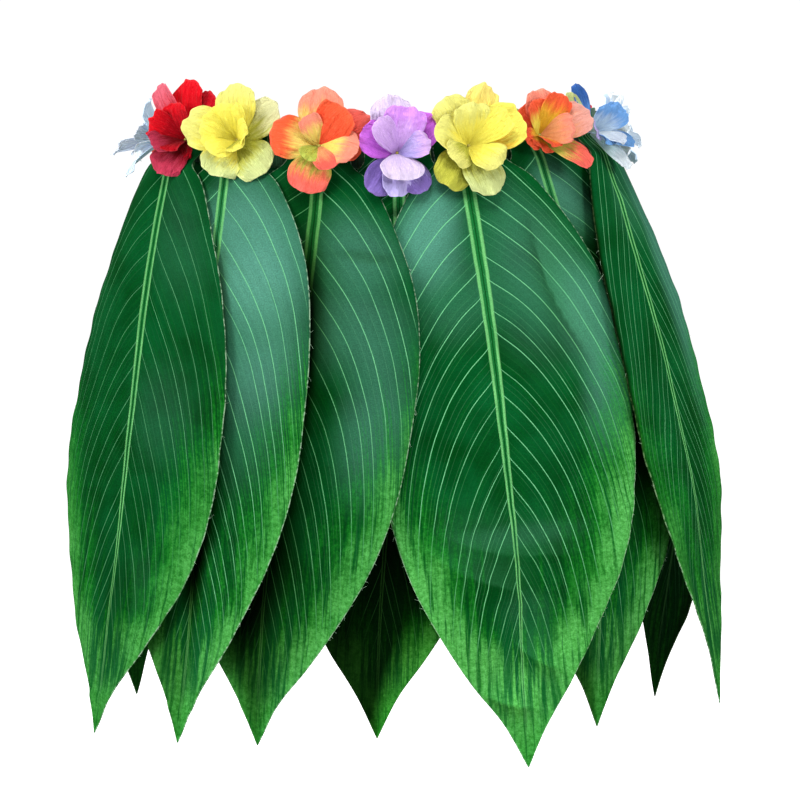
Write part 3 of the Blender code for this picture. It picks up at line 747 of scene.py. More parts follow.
def grid_quads(rows, columns, wrap=False, copies=1):
    """Quads of a grid stored row by row, for each of a number of like grids stored one after another; with
    wrap, the last column joins the first."""
    row, column = np.meshgrid(np.arange(rows - 1), np.arange(columns if wrap else columns - 1), indexing="ij")
    here = row * columns + column
    beside = row * columns + (column + 1) % columns
    quads = np.stack([here, here + columns, beside + columns, beside], axis=-1).reshape(-1, 4)
    return (quads[None] + (np.arange(copies) * rows * columns)[:, None, None]).reshape(-1, 4)


def mesh_object(name, points, faces, uv=None, values=None, colours=None):
    """Smooth object from points and its faces' point numbers, with a UV map and point attributes."""
    points = np.asarray(points, dtype=float).reshape(-1, 3)
    mesh = bpy.data.meshes.new(name)
    mesh.from_pydata(points.tolist(), [], [face.tolist() for face in faces])
    mesh.update()
    if uv is not None:
        corner = np.empty(len(mesh.loops), dtype=np.int32)
        mesh.loops.foreach_get("vertex_index", corner)
        layer = mesh.uv_layers.new(name="cloth")
        layer.data.foreach_set("uv", np.asarray(uv, dtype=np.float32).reshape(-1, 2)[corner].ravel())
    for kind, field, table in (("FLOAT", "value", values), ("FLOAT_COLOR", "color", colours)):
        for key, data in (table or {}).items():
            held = mesh.attributes.new(key, kind, "POINT")
            held.data.foreach_set(field, np.asarray(data, dtype=np.float32).ravel())
    mesh.shade_smooth()
    piece = bpy.data.objects.new(name, mesh)
    bpy.context.scene.collection.objects.link(piece)
    return piece


def give_wall(piece, thickness, inner_slot):
    """Cloth thickness inwards from the piece's outer face; the inner face takes that material."""
    wall = piece.modifiers.new("Cloth", "SOLIDIFY")
    wall.thickness = thickness
    wall.offset = -1.0
    wall.use_even_offset = False
    wall.material_offset = inner_slot


class Wire:
    """Output of a node. Sums, differences, products and quotients of wires and numbers add Math nodes."""

    def __init__(self, graph, socket):
        self.graph = graph
        self.socket = socket

    def __add__(self, other):
        return self.graph.math("ADD", self, other)

    def __sub__(self, other):
        return self.graph.math("SUBTRACT", self, other)

    def __rsub__(self, other):
        return self.graph.math("SUBTRACT", other, self)

    def __mul__(self, other):
        return self.graph.math("MULTIPLY", self, other)

    def __truediv__(self, other):
        return self.graph.math("DIVIDE", self, other)

    def __abs__(self):
        return self.graph.math("ABSOLUTE", self)

    __radd__ = __add__
    __rmul__ = __mul__


class Graph:
    """Short hand that adds linked nodes to a node tree, each to the right of the last."""

    def __init__(self, tree):
        self.tree = tree
        self.count = 0

    def feed(self, socket, value):
        """Links a wire to a socket, or sets the socket to a plain value."""
        if isinstance(value, Wire):
            self.tree.links.new(value.socket, socket)
        else:
            socket.default_value = value

    def node(self, kind, inputs=None, **settings):
        """New node with its settings and inputs."""
        made = self.tree.nodes.new(kind)
        made.location = (180.0 * (self.count % 12), -220.0 * (self.count // 12))
        self.count += 1
        for key, value in settings.items():
            setattr(made, key, value)
        for key, value in (inputs or {}).items():
            self.feed(made.inputs[key], value)
        return made

    def wire(self, kind, output, inputs=None, **settings):
        """One output of a new node."""
        return Wire(self, self.node(kind, inputs, **settings).outputs[output])

    def math(self, operation, *values):
        """Result of a Math node."""
        return self.wire("ShaderNodeMath", 0, dict(enumerate(values)), operation=operation)

    def vector_math(self, operation, inputs):
        """Vector of a Vector Math node."""
        return self.wire("ShaderNodeVectorMath", "Vector", inputs, operation=operation)

    def step(self, value, start, end):
        """Smooth step of a value from start to end, which may fall."""
        return self.wire("ShaderNodeMapRange", "Result", {"Value": value, "From Min": start, "From Max": end},
                         interpolation_type="SMOOTHSTEP")

    def blend(self, factor, low, high, kind="MIX"):
        """Mix of two colours."""
        low, high = (value if isinstance(value, Wire) else (*value, 1.0) for value in (low, high))
        return self.wire("ShaderNodeMix", 2, {0: factor, 6: low, 7: high}, data_type="RGBA", blend_type=kind)

    def vector(self, x, y, z):
        """Vector from three values."""
        return self.wire("ShaderNodeCombineXYZ", 0, {"X": x, "Y": y, "Z": z})

    def split(self, vector):
        """First two values of a vector."""
        parts = self.node("ShaderNodeSeparateXYZ", {"Vector": vector}).outputs
        return Wire(self, parts["X"]), Wire(self, parts["Y"])

    def noise(self, vector, scale, detail=2.0, roughness=0.5):
        """Value of a noise texture."""
        inputs = {"Vector": vector, "Scale": scale, "Detail": detail, "Roughness": roughness}
        return self.wire("ShaderNodeTexNoise", "Fac", inputs)

    def cloth(self):
        """Across and down values of the piece's own UV map."""
        return self.split(self.wire("ShaderNodeUVMap", "UV", uv_map="cloth"))

    def held(self, name, output="Fac"):
        """Value of one of the piece's attributes."""
        return self.wire("ShaderNodeAttribute", output, attribute_name=name, attribute_type="GEOMETRY")


def pattern_group(name, inputs, outputs, pattern):
    """Shader node group with float inputs by name and default; the pattern function gives its outputs."""
    tree = bpy.data.node_groups.new(name, "ShaderNodeTree")
    for title, default in inputs.items():
        socket = tree.interface.new_socket(title, in_out="INPUT", socket_type="NodeSocketFloat")
        socket.default_value = default
    for title in outputs:
        kind = "NodeSocketColor" if title == "Color" else "NodeSocketFloat"
        tree.interface.new_socket(title, in_out="OUTPUT", socket_type=kind)
    graph = Graph(tree)
    source = graph.node("NodeGroupInput").outputs
    results = pattern(graph, *(Wire(graph, source[title]) for title in inputs))
    sink = tree.nodes.new("NodeGroupOutput").inputs
    for title, result in zip(outputs, results):
        graph.feed(sink[title], result)
    return tree


def leaf_print_and_painted_light(g, seed, bright, border, slope, turn, veins, rib):
    """Printed leaf pattern with painted sheen, painted highlights and painted shade, read from the blade's
    metres across and down: its colour, roughness and height.

    A lateral vein is a line of equal w, where w is the distance down less a slope times the distance from the
    midrib, less a bend times its square, less a short foot that runs along the midrib. The slope grows with
    the square of the share along the blade, and later where the turn is high. Each side has one vein to a
    pitch of w, at a random place in it. The midrib is two lines that draw together towards the tip. Bright
    mottled green comes in from the margins below the middle, and its inner edge breaks up into streaks."""
    aside, down = g.cloth()
    share, margin, painted_sheen = g.held("share"), g.held("margin"), g.held("painted_sheen")
    fold, shade = g.held("fold"), g.held("shade")
    spot = g.vector(aside, down, seed)
    far = abs(aside)
    side = g.math("SIGN", aside)
    slope = slope + share * share * 4.0 * (1.0 + turn * (share - 1.0))
    foot = (1.0 - g.math("EXPONENT", far * -420.0)) * 0.0035
    drift = (g.noise(spot, 22.0, 1.0) - 0.5) * 0.0045
    family = down - slope * far - far * far * 9.0 - foot + drift
    lean = slope + far * 18.0
    steep = g.math("SQRT", 1.0 + lean * lean)

    def vein_family(pitch, jitter, width, weight):
        """Lines at one random place in each pitch of w, each with its own strength and width; the distance
        from a line is measured square to it."""
        count = family * (1.0 / pitch) + side * 0.27 + seed * 0.31
        cell = g.vector(g.math("FLOOR", count), side, seed)
        chance = g.wire("ShaderNodeTexWhiteNoise", "Color", {"Vector": cell}, noise_dimensions="3D")
        place, force = g.split(chance)
        place = 0.5 + (place - 0.5) * jitter
        off = abs(g.math("FRACT", count) - place) * pitch / steep
        strength = (1.0 - weight) + force * weight
        return g.step(off, (0.85 + strength * 0.5) * width, 0.00005) * strength

    fade_along = 0.62 + g.noise(spot, 90.0, 1.0) * 0.7
    fade_along = fade_along * veins * (1.0 + g.step(share, 0.55, 0.15) * 0.25)
    vein = vein_family(0.0172, 0.42, 0.00025, 0.30) * fade_along * g.step(margin, 0.0002, 0.006)
    thin = vein_family(0.0052, 0.60, 0.00018, 0.95) * veins * 0.13 * g.step(margin, 0.001, 0.010)
    # Fine veinlets run with the lateral veins above, and as upright streaks below
    fine = g.noise(g.vector(family * 430.0, far * 26.0, seed), 1.0, 2.0, 0.6)
    upright = g.noise(g.vector(aside * 330.0, down * 16.0, seed), 1.0, 3.0, 0.65)
    streak = g.wire("ShaderNodeMix", "Result", {"Factor": g.step(share, 0.46, 0.72), "A": fine, "B": upright},
                    data_type="FLOAT")
    mottle = g.noise(spot, 420.0, 3.0, 0.7)
    grain = g.noise(spot, 1300.0, 1.0, 0.6)
    cloud = g.noise(g.vector(aside, down, seed + 3.0), 34.0, 2.0, 0.5)
    # Bright margin: widens from the middle to the tip, higher up on the right, with a streaky inner edge
    level = share + aside * 0.85
    reach = g.step(level, 0.34, 0.66) * 0.030 + g.step(share, 0.74, 0.93) * 0.034
    inside = (reach * border - margin) / 0.026
    breaks = (streak - 0.5) * 3.2 + (cloud - 0.5) + (mottle - 0.5) * 0.7
    lit = g.step(inside + breaks, -0.70, 1.25) * g.step(level, 0.34, 0.46)
    core = g.blend(g.step(cloud - share * 0.35, 0.05, 0.65), CORE_DARK, CORE_LIGHT)
    core = g.blend(g.step(streak, 0.46, 0.70) * 0.35, core, CORE_STREAK)
    # Painted satin sheen: a pale teal over the dark middle wherever the soft patches put it
    core = g.blend(painted_sheen * (0.72 + fine * 0.35), core, PAINTED_SHEEN)
    leaf_green = g.blend(g.step(mottle, 0.25, 0.75), GREEN_DARK, GREEN_LIGHT)
    lime = g.blend(g.step(mottle, 0.25, 0.72), LIME_DARK, LIME_LIGHT)
    rich = g.step(inside + (cloud - 0.5) * 1.6 + (streak - 0.5) * 1.6, 0.05, 1.25)
    rich = rich * g.step(share, 1.06, 0.86) * g.step(border, 0.40, 1.0)
    rim = g.blend(rich, leaf_green, lime)
    rim = g.blend(g.step(streak, 0.49, 0.36) * 0.78, rim, CORE_STREAK)
    colour = g.blend(lit, core, rim)
    # Plain green middle of the lower blade, and the veins over all
    centre = g.step(far, 0.030, 0.006) * g.step(share, 0.66, 0.80) * g.step(share, 0.955, 0.88)
    centre = centre * g.step(upright, 0.62, 0.46)
    colour = g.blend(centre * 0.90, colour, CORE_LIGHT)
    seen = 1.0 - lit * 0.93
    colour = g.blend(thin * seen, colour, VEIN)
    colour = g.blend(vein * seen * 0.95, colour, VEIN)
    # Midrib: two stripes with a mid-green channel between, which draw together and thin out
    apart = (0.0005 + g.step(share, 0.86, 0.12) * 0.0023) * rib
    wobble = (g.noise(g.vector(0.0, down, seed), 60.0, 1.0) - 0.5) * 0.0006
    middle = abs(aside + wobble)
    line_half = (0.00022 + g.step(share, 0.86, 0.08) * 0.00090) * rib
    fibres = 0.42 + g.noise(g.vector(aside * 900.0, down * 60.0, seed), 1.0, 2.0) * 0.9
    stripe = g.step(abs(middle - apart), line_half + 0.00030, line_half * 0.4)
    stripe = stripe * g.step(share, 0.985, 0.80) * fibres
    channel = g.step(middle, apart + 0.0006, apart) * g.step(share, 0.85, 0.60)
    colour = g.blend(channel * 0.80, colour, CHANNEL)
    colour = g.blend(stripe * 0.92, colour, MIDRIB)
    colour = g.blend(g.step(middle, 0.00060, 0.00015) * channel * 0.80, colour, CORE_DARK)
    # Cut edge: bare white threads, broken unevenly
    broken = g.step(g.noise(spot, 420.0, 1.0), 0.42, 0.58)
    cut = g.step(margin, 0.00060, 0.00015) * (0.15 + broken * 0.85)
    colour = g.blend(cut * 0.75, colour, CUT_EDGE)
    # Painted highlight on one side of a crease, painted shade on its other side and from the blade in front,
    # and the leaf's brightness, which is painted light and shade as well
    colour = g.blend(fold * 0.75 * (1.0 - lit), colour, CREASE_HIGHLIGHT)
    colour = g.blend(1.0, colour, g.blend(shade, SHADE_TINT, WHITE), "MULTIPLY")
    grade = bright * shade * (1.0 + fold * lit * 0.7) * (0.36 + mottle * 0.42 + grain * 0.88)
    colour = g.vector_math("SCALE", {0: colour, "Scale": grade})
    weave = g.math("SINE", aside * 9000.0) * g.math("SINE", down * 9000.0)
    height = weave * 0.00001 + vein * 0.00006 + stripe * 0.00015 + mottle * 0.00004
    return colour, 0.46 + mottle * 0.12 + lit * 0.12, height


def petal_dye_and_shade(g, streaks):
    """Dye of a petal and painted shade on it, its colour and height: from the throat's dye to the rim's over
    the reach, with radial pleat streaks of painted shade in the pleats' valleys, fine veins, a pale rim and
    painted shade deep in the throat."""
    across, reach = g.cloth()
    petal = g.held("petal")
    throat = g.held("throat_dye", "Color")
    rim = g.held("rim_dye", "Color")
    pleat = g.noise(g.vector(across * 9.0, reach * 1.1, petal), 1.0, 3.0, 0.6)
    fibre = g.noise(g.vector(across * 30.0, reach * 7.0, petal), 1.0, 3.0, 0.7)
    cloud = g.noise(g.vector(across, reach, petal), 2.2, 2.0)
    turn = reach + (pleat - 0.5) * 0.55 + (cloud - 0.5) * 0.5
    colour = g.blend(g.step(turn, 0.28, 0.80), throat, rim)
    deep = g.vector_math("MULTIPLY", {0: colour, 1: throat})
    # Painted shade in the valleys of the pleats, stronger towards the throat
    dark = g.step(pleat, 0.52, 0.38) * g.step(reach, 1.05, 0.35) * streaks
    colour = g.blend(dark * 0.75, colour, deep)
    # Fine radial veins, and the open weave of the cloth
    vein = g.step(abs(fibre - 0.5), 0.045, 0.010)
    colour = g.blend(vein * g.step(reach, 1.0, 0.6) * 0.40, colour, deep)
    paler = g.vector_math("MULTIPLY_ADD", {0: colour, 1: (1.30, 1.30, 1.30), 2: (0.035, 0.035, 0.035)})
    colour = g.blend(g.step(fibre, 0.52, 0.70) * 0.75, colour, paler)
    # Pale frill at the rim and the outer sides, and painted shade deep in the throat
    frill = g.step(abs(across), 0.93, 1.0) * g.step(reach, 0.3, 0.6)
    frill = g.math("MAXIMUM", g.step(reach, 0.93, 1.0), frill)
    colour = g.blend(frill * 0.60, colour, paler)
    colour = g.blend(g.step(reach, 0.26, 0.10) * 0.15, colour, deep)
    crumple = g.noise(g.vector(across * 3.4, reach * 3.0, petal), 1.0, 3.0, 0.6)
    return colour, pleat * 0.00150 + fibre * 0.00070 + crumple * 0.00340


def elastic_ribs(g, pitch):
    """Ribbed elastic, its colour and height: the sine of the metres round the band gives fine upright ribs,
    and that of its height gives cross threads."""
    around, height = g.cloth()
    rib = g.math("SINE", around * TURN / pitch)
    thread = g.math("SINE", height * (TURN / THREAD_PITCH))
    colour = g.blend(0.5 + rib * 0.28 + thread * 0.18, ELASTIC_DARK, ELASTIC_LIGHT)
    return colour, (rib + thread * 0.5) * 0.0001


def plain_material(name, colour, roughness):
    """Principled material of one colour."""
    made = bpy.data.materials.new(name)
    made.use_nodes = True
    shader = made.node_tree.nodes["Principled BSDF"]
    shader.inputs["Base Color"].default_value = (*colour, 1.0)
    shader.inputs["Roughness"].default_value = roughness
    return made


def cloth_material(name, group, values, roughness=0.5, sheen=0.0, specular=0.5, glow=0.0):
    """Principled cloth fed by a pattern group's colour, height and any roughness; the glow is painted light,
    an emission of the pattern's colour that lifts its shade."""
    made = plain_material(name, WHITE, roughness)
    tree = made.node_tree
    shader = tree.nodes["Principled BSDF"]
    pattern = tree.nodes.new("ShaderNodeGroup")
    pattern.node_tree = group
    pattern.location = (-520.0, 200.0)
    for key, value in values.items():
        pattern.inputs[key].default_value = value
    relief = tree.nodes.new("ShaderNodeBump")
    relief.location = (-260.0, -160.0)
    relief.inputs["Strength"].default_value = 1.0
    relief.inputs["Distance"].default_value = 1.0
    shader.inputs["Sheen Weight"].default_value = sheen
    shader.inputs["Sheen Roughness"].default_value = 0.4
    shader.inputs["Specular IOR Level"].default_value = specular
    tree.links.new(pattern.outputs["Color"], shader.inputs["Base Color"])
    tree.links.new(pattern.outputs["Height"], relief.inputs["Height"])
    tree.links.new(relief.outputs["Normal"], shader.inputs["Normal"])
    if "Roughness" in pattern.outputs:
        tree.links.new(pattern.outputs["Roughness"], shader.inputs["Roughness"])
    if glow > 0.0:
        tree.links.new(pattern.outputs["Color"], shader.inputs["Emission Color"])
        shader.inputs["Emission Strength"].default_value = glow
    return made


class HulaBandSettings(bpy.types.PropertyGroup):
    """Sizes of the waistband."""

    rib_pitch: bpy.props.FloatProperty(
        name="Rib pitch", description="Distance from rib to rib round the elastic", default=0.0016,
        unit="LENGTH")
    rib_depth: bpy.props.FloatProperty(
        name="Rib depth", description="Height of the ribs on the elastic's inside", default=0.0002,
        unit="LENGTH")


class HulaLeafSettings(bpy.types.PropertyGroup):
    """Sizes and finish of the leaf blades."""

    rows: bpy.props.IntProperty(name="Rows", description="Grid rows down a blade in front", default=221)
    columns: bpy.props.IntProperty(
        name="Columns", description="Grid columns across a blade in front", default=57)
    wall: bpy.props.FloatProperty(
        name="Cloth", description="Thickness of the satin cloth", default=0.0006, unit="LENGTH")
    sheen: bpy.props.FloatProperty(
        name="Sheen", description="Soft sheen of the satin", default=0.0, subtype="FACTOR")
    # Painted shade: the print on the reverse is darkened to stand for the shade inside the skirt
    reverse: bpy.props.FloatProperty(
        name="Reverse", description="How bright the print is on the cloth's reverse", default=0.40,
        subtype="FACTOR")
    threads: bpy.props.IntProperty(
        name="Threads", description="Loose threads along the cut edges of one blade", default=46)


class HulaFlowerSettings(bpy.types.PropertyGroup):
    """Sizes and finish of the flowers."""

    wall: bpy.props.FloatProperty(
        name="Cloth", description="Thickness of the petal cloth", default=0.0004, unit="LENGTH")
    ruffle: bpy.props.FloatProperty(
        name="Ruffle", description="Height of the ruffles at the petals' rims", default=0.0014, unit="LENGTH")
    pleat: bpy.props.FloatProperty(
        name="Pleat", description="Depth of the petals' fine pleats", default=0.00028, unit="LENGTH")
    fold: bpy.props.FloatProperty(
        name="Fold", description="Depth of the folds down the petals", default=0.0009, unit="LENGTH")
    roll: bpy.props.FloatProperty(
        name="Roll", description="How far the petals' rims roll back", default=0.0020, unit="LENGTH")
    twist: bpy.props.FloatProperty(
        name="Twist", description="How far a petal's side lies over the next petal", default=0.0014,
        unit="LENGTH")
    # Painted light: the petals emit their own colour, which lifts their shade
    glow: bpy.props.FloatProperty(
        name="Glow", description="Light that comes through the thin petal cloth", default=0.05,
        subtype="FACTOR")
    bead_colour: bpy.props.FloatVectorProperty(
        name="Bead colour", description="Colour of the bead that pins each flower",
        default=(0.42, 0.36, 0.06), subtype="COLOR", size=3)


class HulaStageSettings(bpy.types.PropertyGroup):
    """Floor, light and camera."""

    floor_drop: bpy.props.FloatProperty(
        name="Floor drop", description="Height of the floor below the waist", default=0.75, unit="LENGTH")
    floor_colour: bpy.props.FloatVectorProperty(
        name="Floor colour", description="Colour of the floor", default=(0.86, 0.86, 0.86), subtype="COLOR",
        size=3)
    floor_glow: bpy.props.FloatProperty(
        name="Floor glow", description="How far the pale floor is lit from below", default=1.0)
    fill: bpy.props.FloatProperty(
        name="Fill", description="Strength of the soft light from all sides", default=0.20)
    lens: bpy.props.FloatProperty(
        name="Lens", description="Focal length of the camera in millimetres", default=157.3)


class HULA_OT_waistband(bpy.types.Operator):
    """Make the ribbed elastic waistband"""

    bl_idname = "hula.waistband"
    bl_label = "Waistband"

    def execute(self, context):
        size = context.scene.hula_band
        rows, steps = BAND_GRID
        around = np.linspace(0.0, 2.0 * np.pi, steps, endpoint=False)
        # Section: out and up values round the band's cut edge, with soft rolled borders
        turn = np.linspace(0.0, 2.0 * np.pi, rows, endpoint=False)
        squash = np.sign(np.sin(turn)) * np.abs(np.sin(turn)) ** 0.35
        thick = np.sign(np.cos(turn)) * np.abs(np.cos(turn)) ** 0.45
        rib = 0.5 + 0.5 * np.cos(around * np.round(RIBBED_GIRTH / size.rib_pitch))
        inside = (thick < 0.0)[:, None]
        out = -0.5 * BAND_WALL + 0.5 * BAND_WALL * thick[:, None] - inside * size.rib_depth * rib[None, :]
        lift = 0.5 * BAND_HEIGHT * squash[:, None] + 0.0 * rib[None, :]
        points = form(around[None, :] + 0.0 * lift, 0.0 * lift, out)
        points[..., 2] += lift
        quads = grid_quads(rows + 1, steps, wrap=True) % (rows * steps)
        uv = np.stack([around[None, :] * BAND_RADIUS + 0.0 * lift, lift], axis=-1)
        piece = mesh_object("elastic_waistband", points, quads, uv=uv)
        group = pattern_group("Elastic ribs", {"Rib pitch": 0.0016}, ("Color", "Height"), elastic_ribs)
        elastic = cloth_material(
            "Waistband elastic", group, {"Rib pitch": size.rib_pitch}, roughness=0.8, sheen=0.2)
        piece.data.materials.append(elastic)
        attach(piece, "root")
        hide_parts("waistband")
        return {"FINISHED"}


class HULA_OT_leaves(bpy.types.Operator):
    """Make the leaf blades with their folds and print"""

    bl_idname = "hula.leaves"
    bl_label = "Leaf blades"

    def execute(self, context):
        size = context.scene.hula_leaf
        group = pattern_group("Leaf print and painted light", LEAF_PRINT_INPUTS, ("Color", "Roughness", "Height"), leaf_print_and_painted_light)
        for number, leaf in enumerate(LEAVES, start=1):
            grid = (size.rows, size.columns) if number <= FRONT_LEAVES else BACK_GRID
            even = np.linspace(0.0, 1.0, grid[0])[:, None]
            # The rows lie a little closer together halfway down
            along, across = np.broadcast_arrays(even + 0.035 * np.sin(2.0 * np.pi * even) / np.pi,
                                                np.linspace(-1.0, 1.0, grid[1])[None, :])
            points = leaf_surface(number, leaf, along, across)
            half = leaf_width(leaf, along)
            paler, darker = crease_tone(number, leaf, along, across)
            uv = np.stack([across * half - rib_place(leaf, along), along * leaf["length"]], axis=-1)
            values = {
                "share": along,
                "margin": (1.0 - np.abs(across)) * half,
                "painted_sheen": patch_share(number, along, across, 1),
                "fold": paler,
                "shade": (1.0 - PATCH_SHADE * patch_share(number, along, across, -1))
                * (1.0 - CREASE_SHADE * darker),
            }
            piece = mesh_object(f"blade_{number:02d}", points, grid_quads(*grid), uv, values)
            inks = {"Seed": 1.37 * number, "Bright": leaf["bright"], "Border": leaf["border"],
                    "Slope": leaf["vein_slope"], "Turn": leaf["vein_turn"], "Veins": leaf["veins"],
                    "Rib": leaf["half_width"] / PRINT_HALF_WIDTH}
            face = cloth_material(
                f"Leaf satin {number:02d}", group, inks, sheen=size.sheen, specular=SATIN_GLOSS)
            # The back's material is a darker copy of the print: painted shade
            inks["Bright"] = size.reverse * leaf["bright"]
            back = cloth_material(f"Leaf satin back {number:02d}", group, inks, specular=SATIN_GLOSS)
            piece.data.materials.append(face)
            piece.data.materials.append(back)
            give_wall(piece, size.wall, 1)
            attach(piece, "root")
            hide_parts(f"leaf_{number:02d}")
            area = 2.0 * leaf["length"] * np.mean(leaf_width(leaf, np.linspace(0.0, 1.0, AREA_STEPS)))
            2.0 * leaf["half_width"]
        return {"FINISHED"}


class HULA_OT_flowers(bpy.types.Operator):
    """Make the two petal layers and the bead of each flower"""

    bl_idname = "hula.flowers"
    bl_label = "Flowers"

    def execute(self, context):
        size = context.scene.hula_flower
        group = pattern_group("Petal dye and shade", {"Streaks": PETAL_STREAKS}, ("Color", "Height"), petal_dye_and_shade)
        # All petals glow with painted light, and those of the flowers in shade glow more
        cloth, painted_light_cloth = (
            cloth_material(name, group, {"Streaks": PETAL_STREAKS}, roughness=0.65, sheen=0.03,
                           specular=0.05, glow=glow)
            for name, glow in (("Petal cloth", size.glow), ("Petal cloth with more painted light", PAINTED_GLOW_IN_SHADE * size.glow)))
        seats = []
        for number, (flower, leaf) in enumerate(zip(FLOWERS, LEAVES), start=1):
            axes = flower_frame(flower, leaf)
            seats.append(axes[0] + (CLOTH + GAP + BEAD_RISE) * axes[3])
            for layer, lift in (("outer", 0.0), ("inner", CLOTH + GAP)):
                rows = petal_rows(number, flower, layer)
                seed = 10 * number + (layer == "inner")
                points, petal, reach, across = petal_layer(axes, rows, lift + size.wall, size, seed)
                faces = grid_quads(*PETAL_GRID, copies=len(rows))[:, ::-1]
                full = np.ones(petal.shape + (1,))
                dyes = {}
                for end in ("throat", "rim"):
                    dye = np.array([DYES[row[end]] for row in rows])[petal]
                    dyes[f"{end}_dye"] = np.concatenate([dye, full], axis=-1)
                piece = mesh_object(f"petals_{layer}_cloth_{number:02d}", points, faces,
                                    np.stack([across, reach], axis=-1), {"petal": petal + 7.0 * number}, dyes)
                piece.data.materials.append(painted_light_cloth if number in FLOWERS_IN_SHADE else cloth)
                give_wall(piece, size.wall, 0)
                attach(piece, "root")
                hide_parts(f"petals_{layer}_{number:02d}")
                f"petals_{BLOOM_SLOTS[(number - 1) % len(BLOOM_SLOTS)]}"
                cut, area = petal_cut(points, rows)
        turn = np.linspace(0.0, 2.0 * np.pi, BEAD_GRID[1], endpoint=False)[None, :]
        fall = np.linspace(0.0, np.pi, BEAD_GRID[0])[:, None]
        ball = np.stack(np.broadcast_arrays(
            np.sin(fall) * np.cos(turn), np.sin(fall) * np.sin(turn), np.cos(fall)), axis=-1)
        points = np.array(seats)[:, None, None, :] + BEAD_RADIUS * ball
        piece = mesh_object("flower_beads", points, grid_quads(*BEAD_GRID, wrap=True, copies=len(seats)))
        piece.data.materials.append(plain_material("Flower bead", size.bead_colour, 0.4))
        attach(piece, "root")
        return {"FINISHED"}


def unit(vectors):
    """Rows of an array of vectors, each scaled to length 1."""
    return vectors / np.linalg.norm(vectors, axis=1)[:, None]


class HULA_OT_threads(bpy.types.Operator):
    """Make the loose threads along the cut edges of the blades"""

    bl_idname = "hula.threads"
    bl_label = "Loose threads"

    def execute(self, context):
        count = context.scene.hula_leaf.threads
        rng = np.random.default_rng(5)
        starts, heads, bends, lengths = [], [], [], []
        # Each thread leaves the edge outwards, a little down and off the cloth, and bends by a square
        for number, leaf in enumerate(LEAVES, start=1):
            along = rng.uniform(*THREAD_SHARES, count)
            edge = np.where(rng.uniform(size=count) < 0.5, -1.0, 1.0)
            start = leaf_surface(number, leaf, along, edge * 0.998)
            outward = unit(start - leaf_surface(number, leaf, along, edge * 0.95))
            downward = unit(leaf_surface(number, leaf, along + 0.01, edge * 0.998) - start)
            off_cloth = np.cross(downward, outward) * -edge[:, None]
            lean = rng.uniform(-0.2, 1.4, (count, 1))
            heads.append(outward + lean * downward + rng.uniform(-0.1, 0.5, (count, 1)) * off_cloth)
            bends.append(rng.uniform(-0.9, 0.9, (count, 1)) * downward
                         + rng.uniform(-0.5, 0.5, (count, 1)) * off_cloth)
            starts.append(start)
            length = rng.uniform(*THREAD_LENGTH, count)
            lengths.append(length * (1.0 + 0.8 * (rng.uniform(size=count) > 0.93)))
        start, head, bend = np.concatenate(starts), unit(np.concatenate(heads)), np.concatenate(bends)
        length = np.concatenate(lengths)[:, None, None]
        q = np.linspace(0.0, 1.0, 6)[None, :, None]
        path = start[:, None] + length * (q * head[:, None] + q ** 2 * bend[:, None])
        one = unit(np.cross(head, np.array([0.3, 0.5, 0.8])))
        two = np.cross(head, one)
        turn = np.linspace(0.0, 2.0 * np.pi, 3, endpoint=False)
        ring = np.cos(turn)[None, :, None] * one[:, None] + np.sin(turn)[None, :, None] * two[:, None]
        thin = THREAD_RADIUS * (1.0 - 0.6 * q)
        points = path[:, :, None] + thin[..., None] * ring[:, None]
        threads, rows, columns = points.shape[:3]
        faces = grid_quads(rows, columns, wrap=True, copies=threads)[:, ::-1]
        first = np.arange(threads) * rows * columns
        caps = np.concatenate([np.stack([first, first + 1, first + 2], axis=-1),
                               np.stack([first + 2, first + 1, first], axis=-1) + (rows - 1) * columns])
        piece = mesh_object("loose_threads", points, [*faces, *caps])
        piece.data.materials.append(plain_material("Bare thread", BARE_THREAD, 0.7))
        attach(piece, "root")
        return {"FINISHED"}


def place_to(thing, place, aim):
    """Puts a light or camera at a place so that its -Z axis points to its aim."""
    thing.location = place
    thing.rotation_euler = (Vector(aim) - Vector(place)).to_track_quat("-Z", "Y").to_euler()


def soft_light(name, place, across, power):
    """Square area light of that width at a place, turned to the skirt's middle."""
    data = bpy.data.lights.new(name, "AREA")
    data.shape = "SQUARE"
    data.size = across
    data.energy = power
    light = bpy.data.objects.new(name, data)
    bpy.context.scene.collection.objects.link(light)
    place_to(light, place, LIT_MIDDLE)
    return light


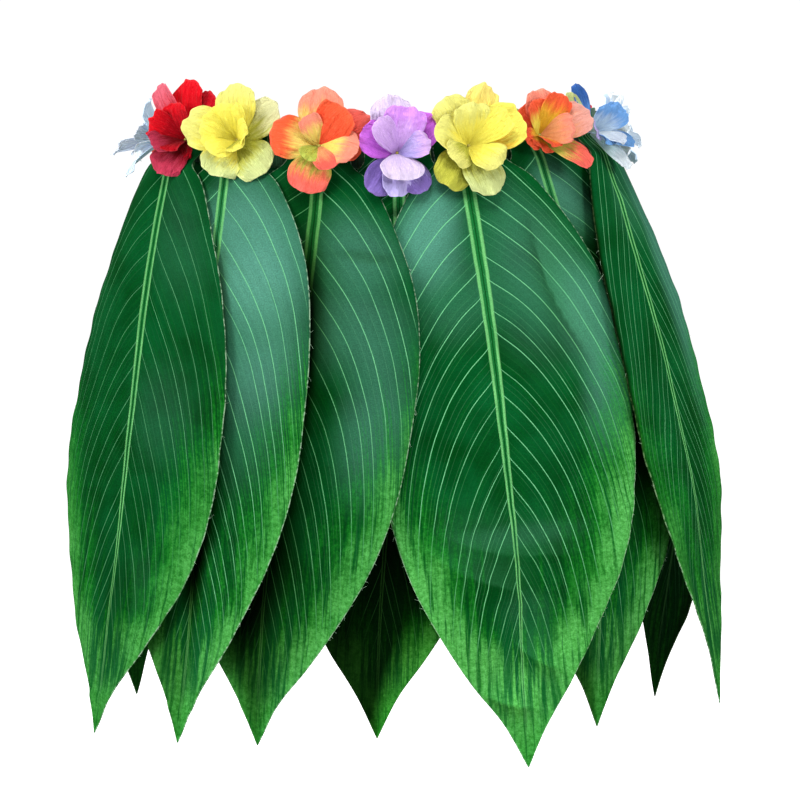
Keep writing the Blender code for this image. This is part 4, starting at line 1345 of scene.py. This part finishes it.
class HULA_OT_stage(bpy.types.Operator):
    """Make the pale floor, the soft studio light and the camera"""

    bl_idname = "hula.stage"
    bl_label = "Stage"

    def execute(self, context):
        size = context.scene.hula_stage
        scene = context.scene
        x, y = np.meshgrid(np.linspace(-FLOOR_HALF, FLOOR_HALF, 3), np.linspace(-FLOOR_HALF, FLOOR_HALF, 3))
        points = np.stack([x, y, np.full_like(x, -size.floor_drop)], axis=-1)
        floor = mesh_object("floor", points, grid_quads(3, 3)[:, ::-1])
        paint = plain_material("Pale floor", size.floor_colour, 0.9)
        # The floor looks white, and throws little of it back on the skirt
        g = Graph(paint.node_tree)
        seen = g.wire("ShaderNodeLightPath", "Is Camera Ray")
        shader = paint.node_tree.nodes["Principled BSDF"]
        g.feed(shader.inputs["Emission Color"], g.blend(seen, (0.0, 0.0, 0.0), WHITE))
        shader.inputs["Emission Strength"].default_value = size.floor_glow
        floor.data.materials.append(paint)
        lights = [soft_light(*row) for row in LIGHTS]
        # The backdrop looks white, and lights the skirt only a little
        world = bpy.data.worlds.new("Studio") if scene.world is None else scene.world
        scene.world = world
        world.use_nodes = True
        nodes = world.node_tree.nodes
        backdrop = nodes.get("Background") or nodes.new("ShaderNodeBackground")
        backdrop.inputs["Color"].default_value = (*WHITE, 1.0)
        g = Graph(world.node_tree)
        seen = g.wire("ShaderNodeLightPath", "Is Camera Ray")
        g.feed(backdrop.inputs["Strength"], g.wire(
            "ShaderNodeMapRange", "Result", {"Value": seen, "To Min": size.fill, "To Max": BACKDROP_SEEN}))
        camera = bpy.data.objects.new("Camera", bpy.data.cameras.new("Camera"))
        scene.collection.objects.link(camera)
        camera.data.lens = size.lens
        camera.data.sensor_width = 36.0
        place_to(camera, CAMERA_PLACE, CAMERA_AIM)
        scene.camera = camera
        scene.view_settings.view_transform = "Standard"
        return {"FINISHED"}


class HULA_PT_panel(bpy.types.Panel):
    """Sidebar panel that lists the pieces of the skirt"""

    bl_idname = "HULA_PT_panel"
    bl_label = "Hula skirt"
    bl_space_type = "VIEW_3D"
    bl_region_type = "UI"
    bl_category = "Hula skirt"

    def draw(self, context):
        for group, operator in PANEL_ROWS:
            box = self.layout.box()
            box.operator(operator)
            settings = getattr(context.scene, group)
            for key in settings.__annotations__:
                box.prop(settings, key)


PANEL_ROWS = (
    ("hula_band", "hula.waistband"),
    ("hula_leaf", "hula.leaves"),
    ("hula_leaf", "hula.threads"),
    ("hula_flower", "hula.flowers"),
    ("hula_stage", "hula.stage"),
)
SETTINGS = (
    ("hula_band", HulaBandSettings),
    ("hula_leaf", HulaLeafSettings),
    ("hula_flower", HulaFlowerSettings),
    ("hula_stage", HulaStageSettings),
)
CLASSES = (
    HulaBandSettings, HulaLeafSettings, HulaFlowerSettings, HulaStageSettings,
    HULA_OT_waistband, HULA_OT_leaves, HULA_OT_threads, HULA_OT_flowers, HULA_OT_stage, HULA_PT_panel,
)


def register():
    """Registers the classes and hangs the settings on the scene."""
    for item in CLASSES:
        bpy.utils.register_class(item)
    for name, kind in SETTINGS:
        setattr(bpy.types.Scene, name, bpy.props.PointerProperty(type=kind))


def unregister():
    """Takes the settings off the scene and unregisters the classes."""
    for name, kind in SETTINGS:
        delattr(bpy.types.Scene, name)
    for item in reversed(CLASSES):
        bpy.utils.unregister_class(item)


def main():
    """Makes every piece in order."""
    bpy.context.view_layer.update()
    register()
    bpy.ops.hula.waistband()
    bpy.ops.hula.leaves()
    bpy.ops.hula.threads()
    bpy.ops.hula.flowers()
    bpy.ops.hula.stage()
    bpy.context.view_layer.update()


if __name__ == "__main__":
    main()
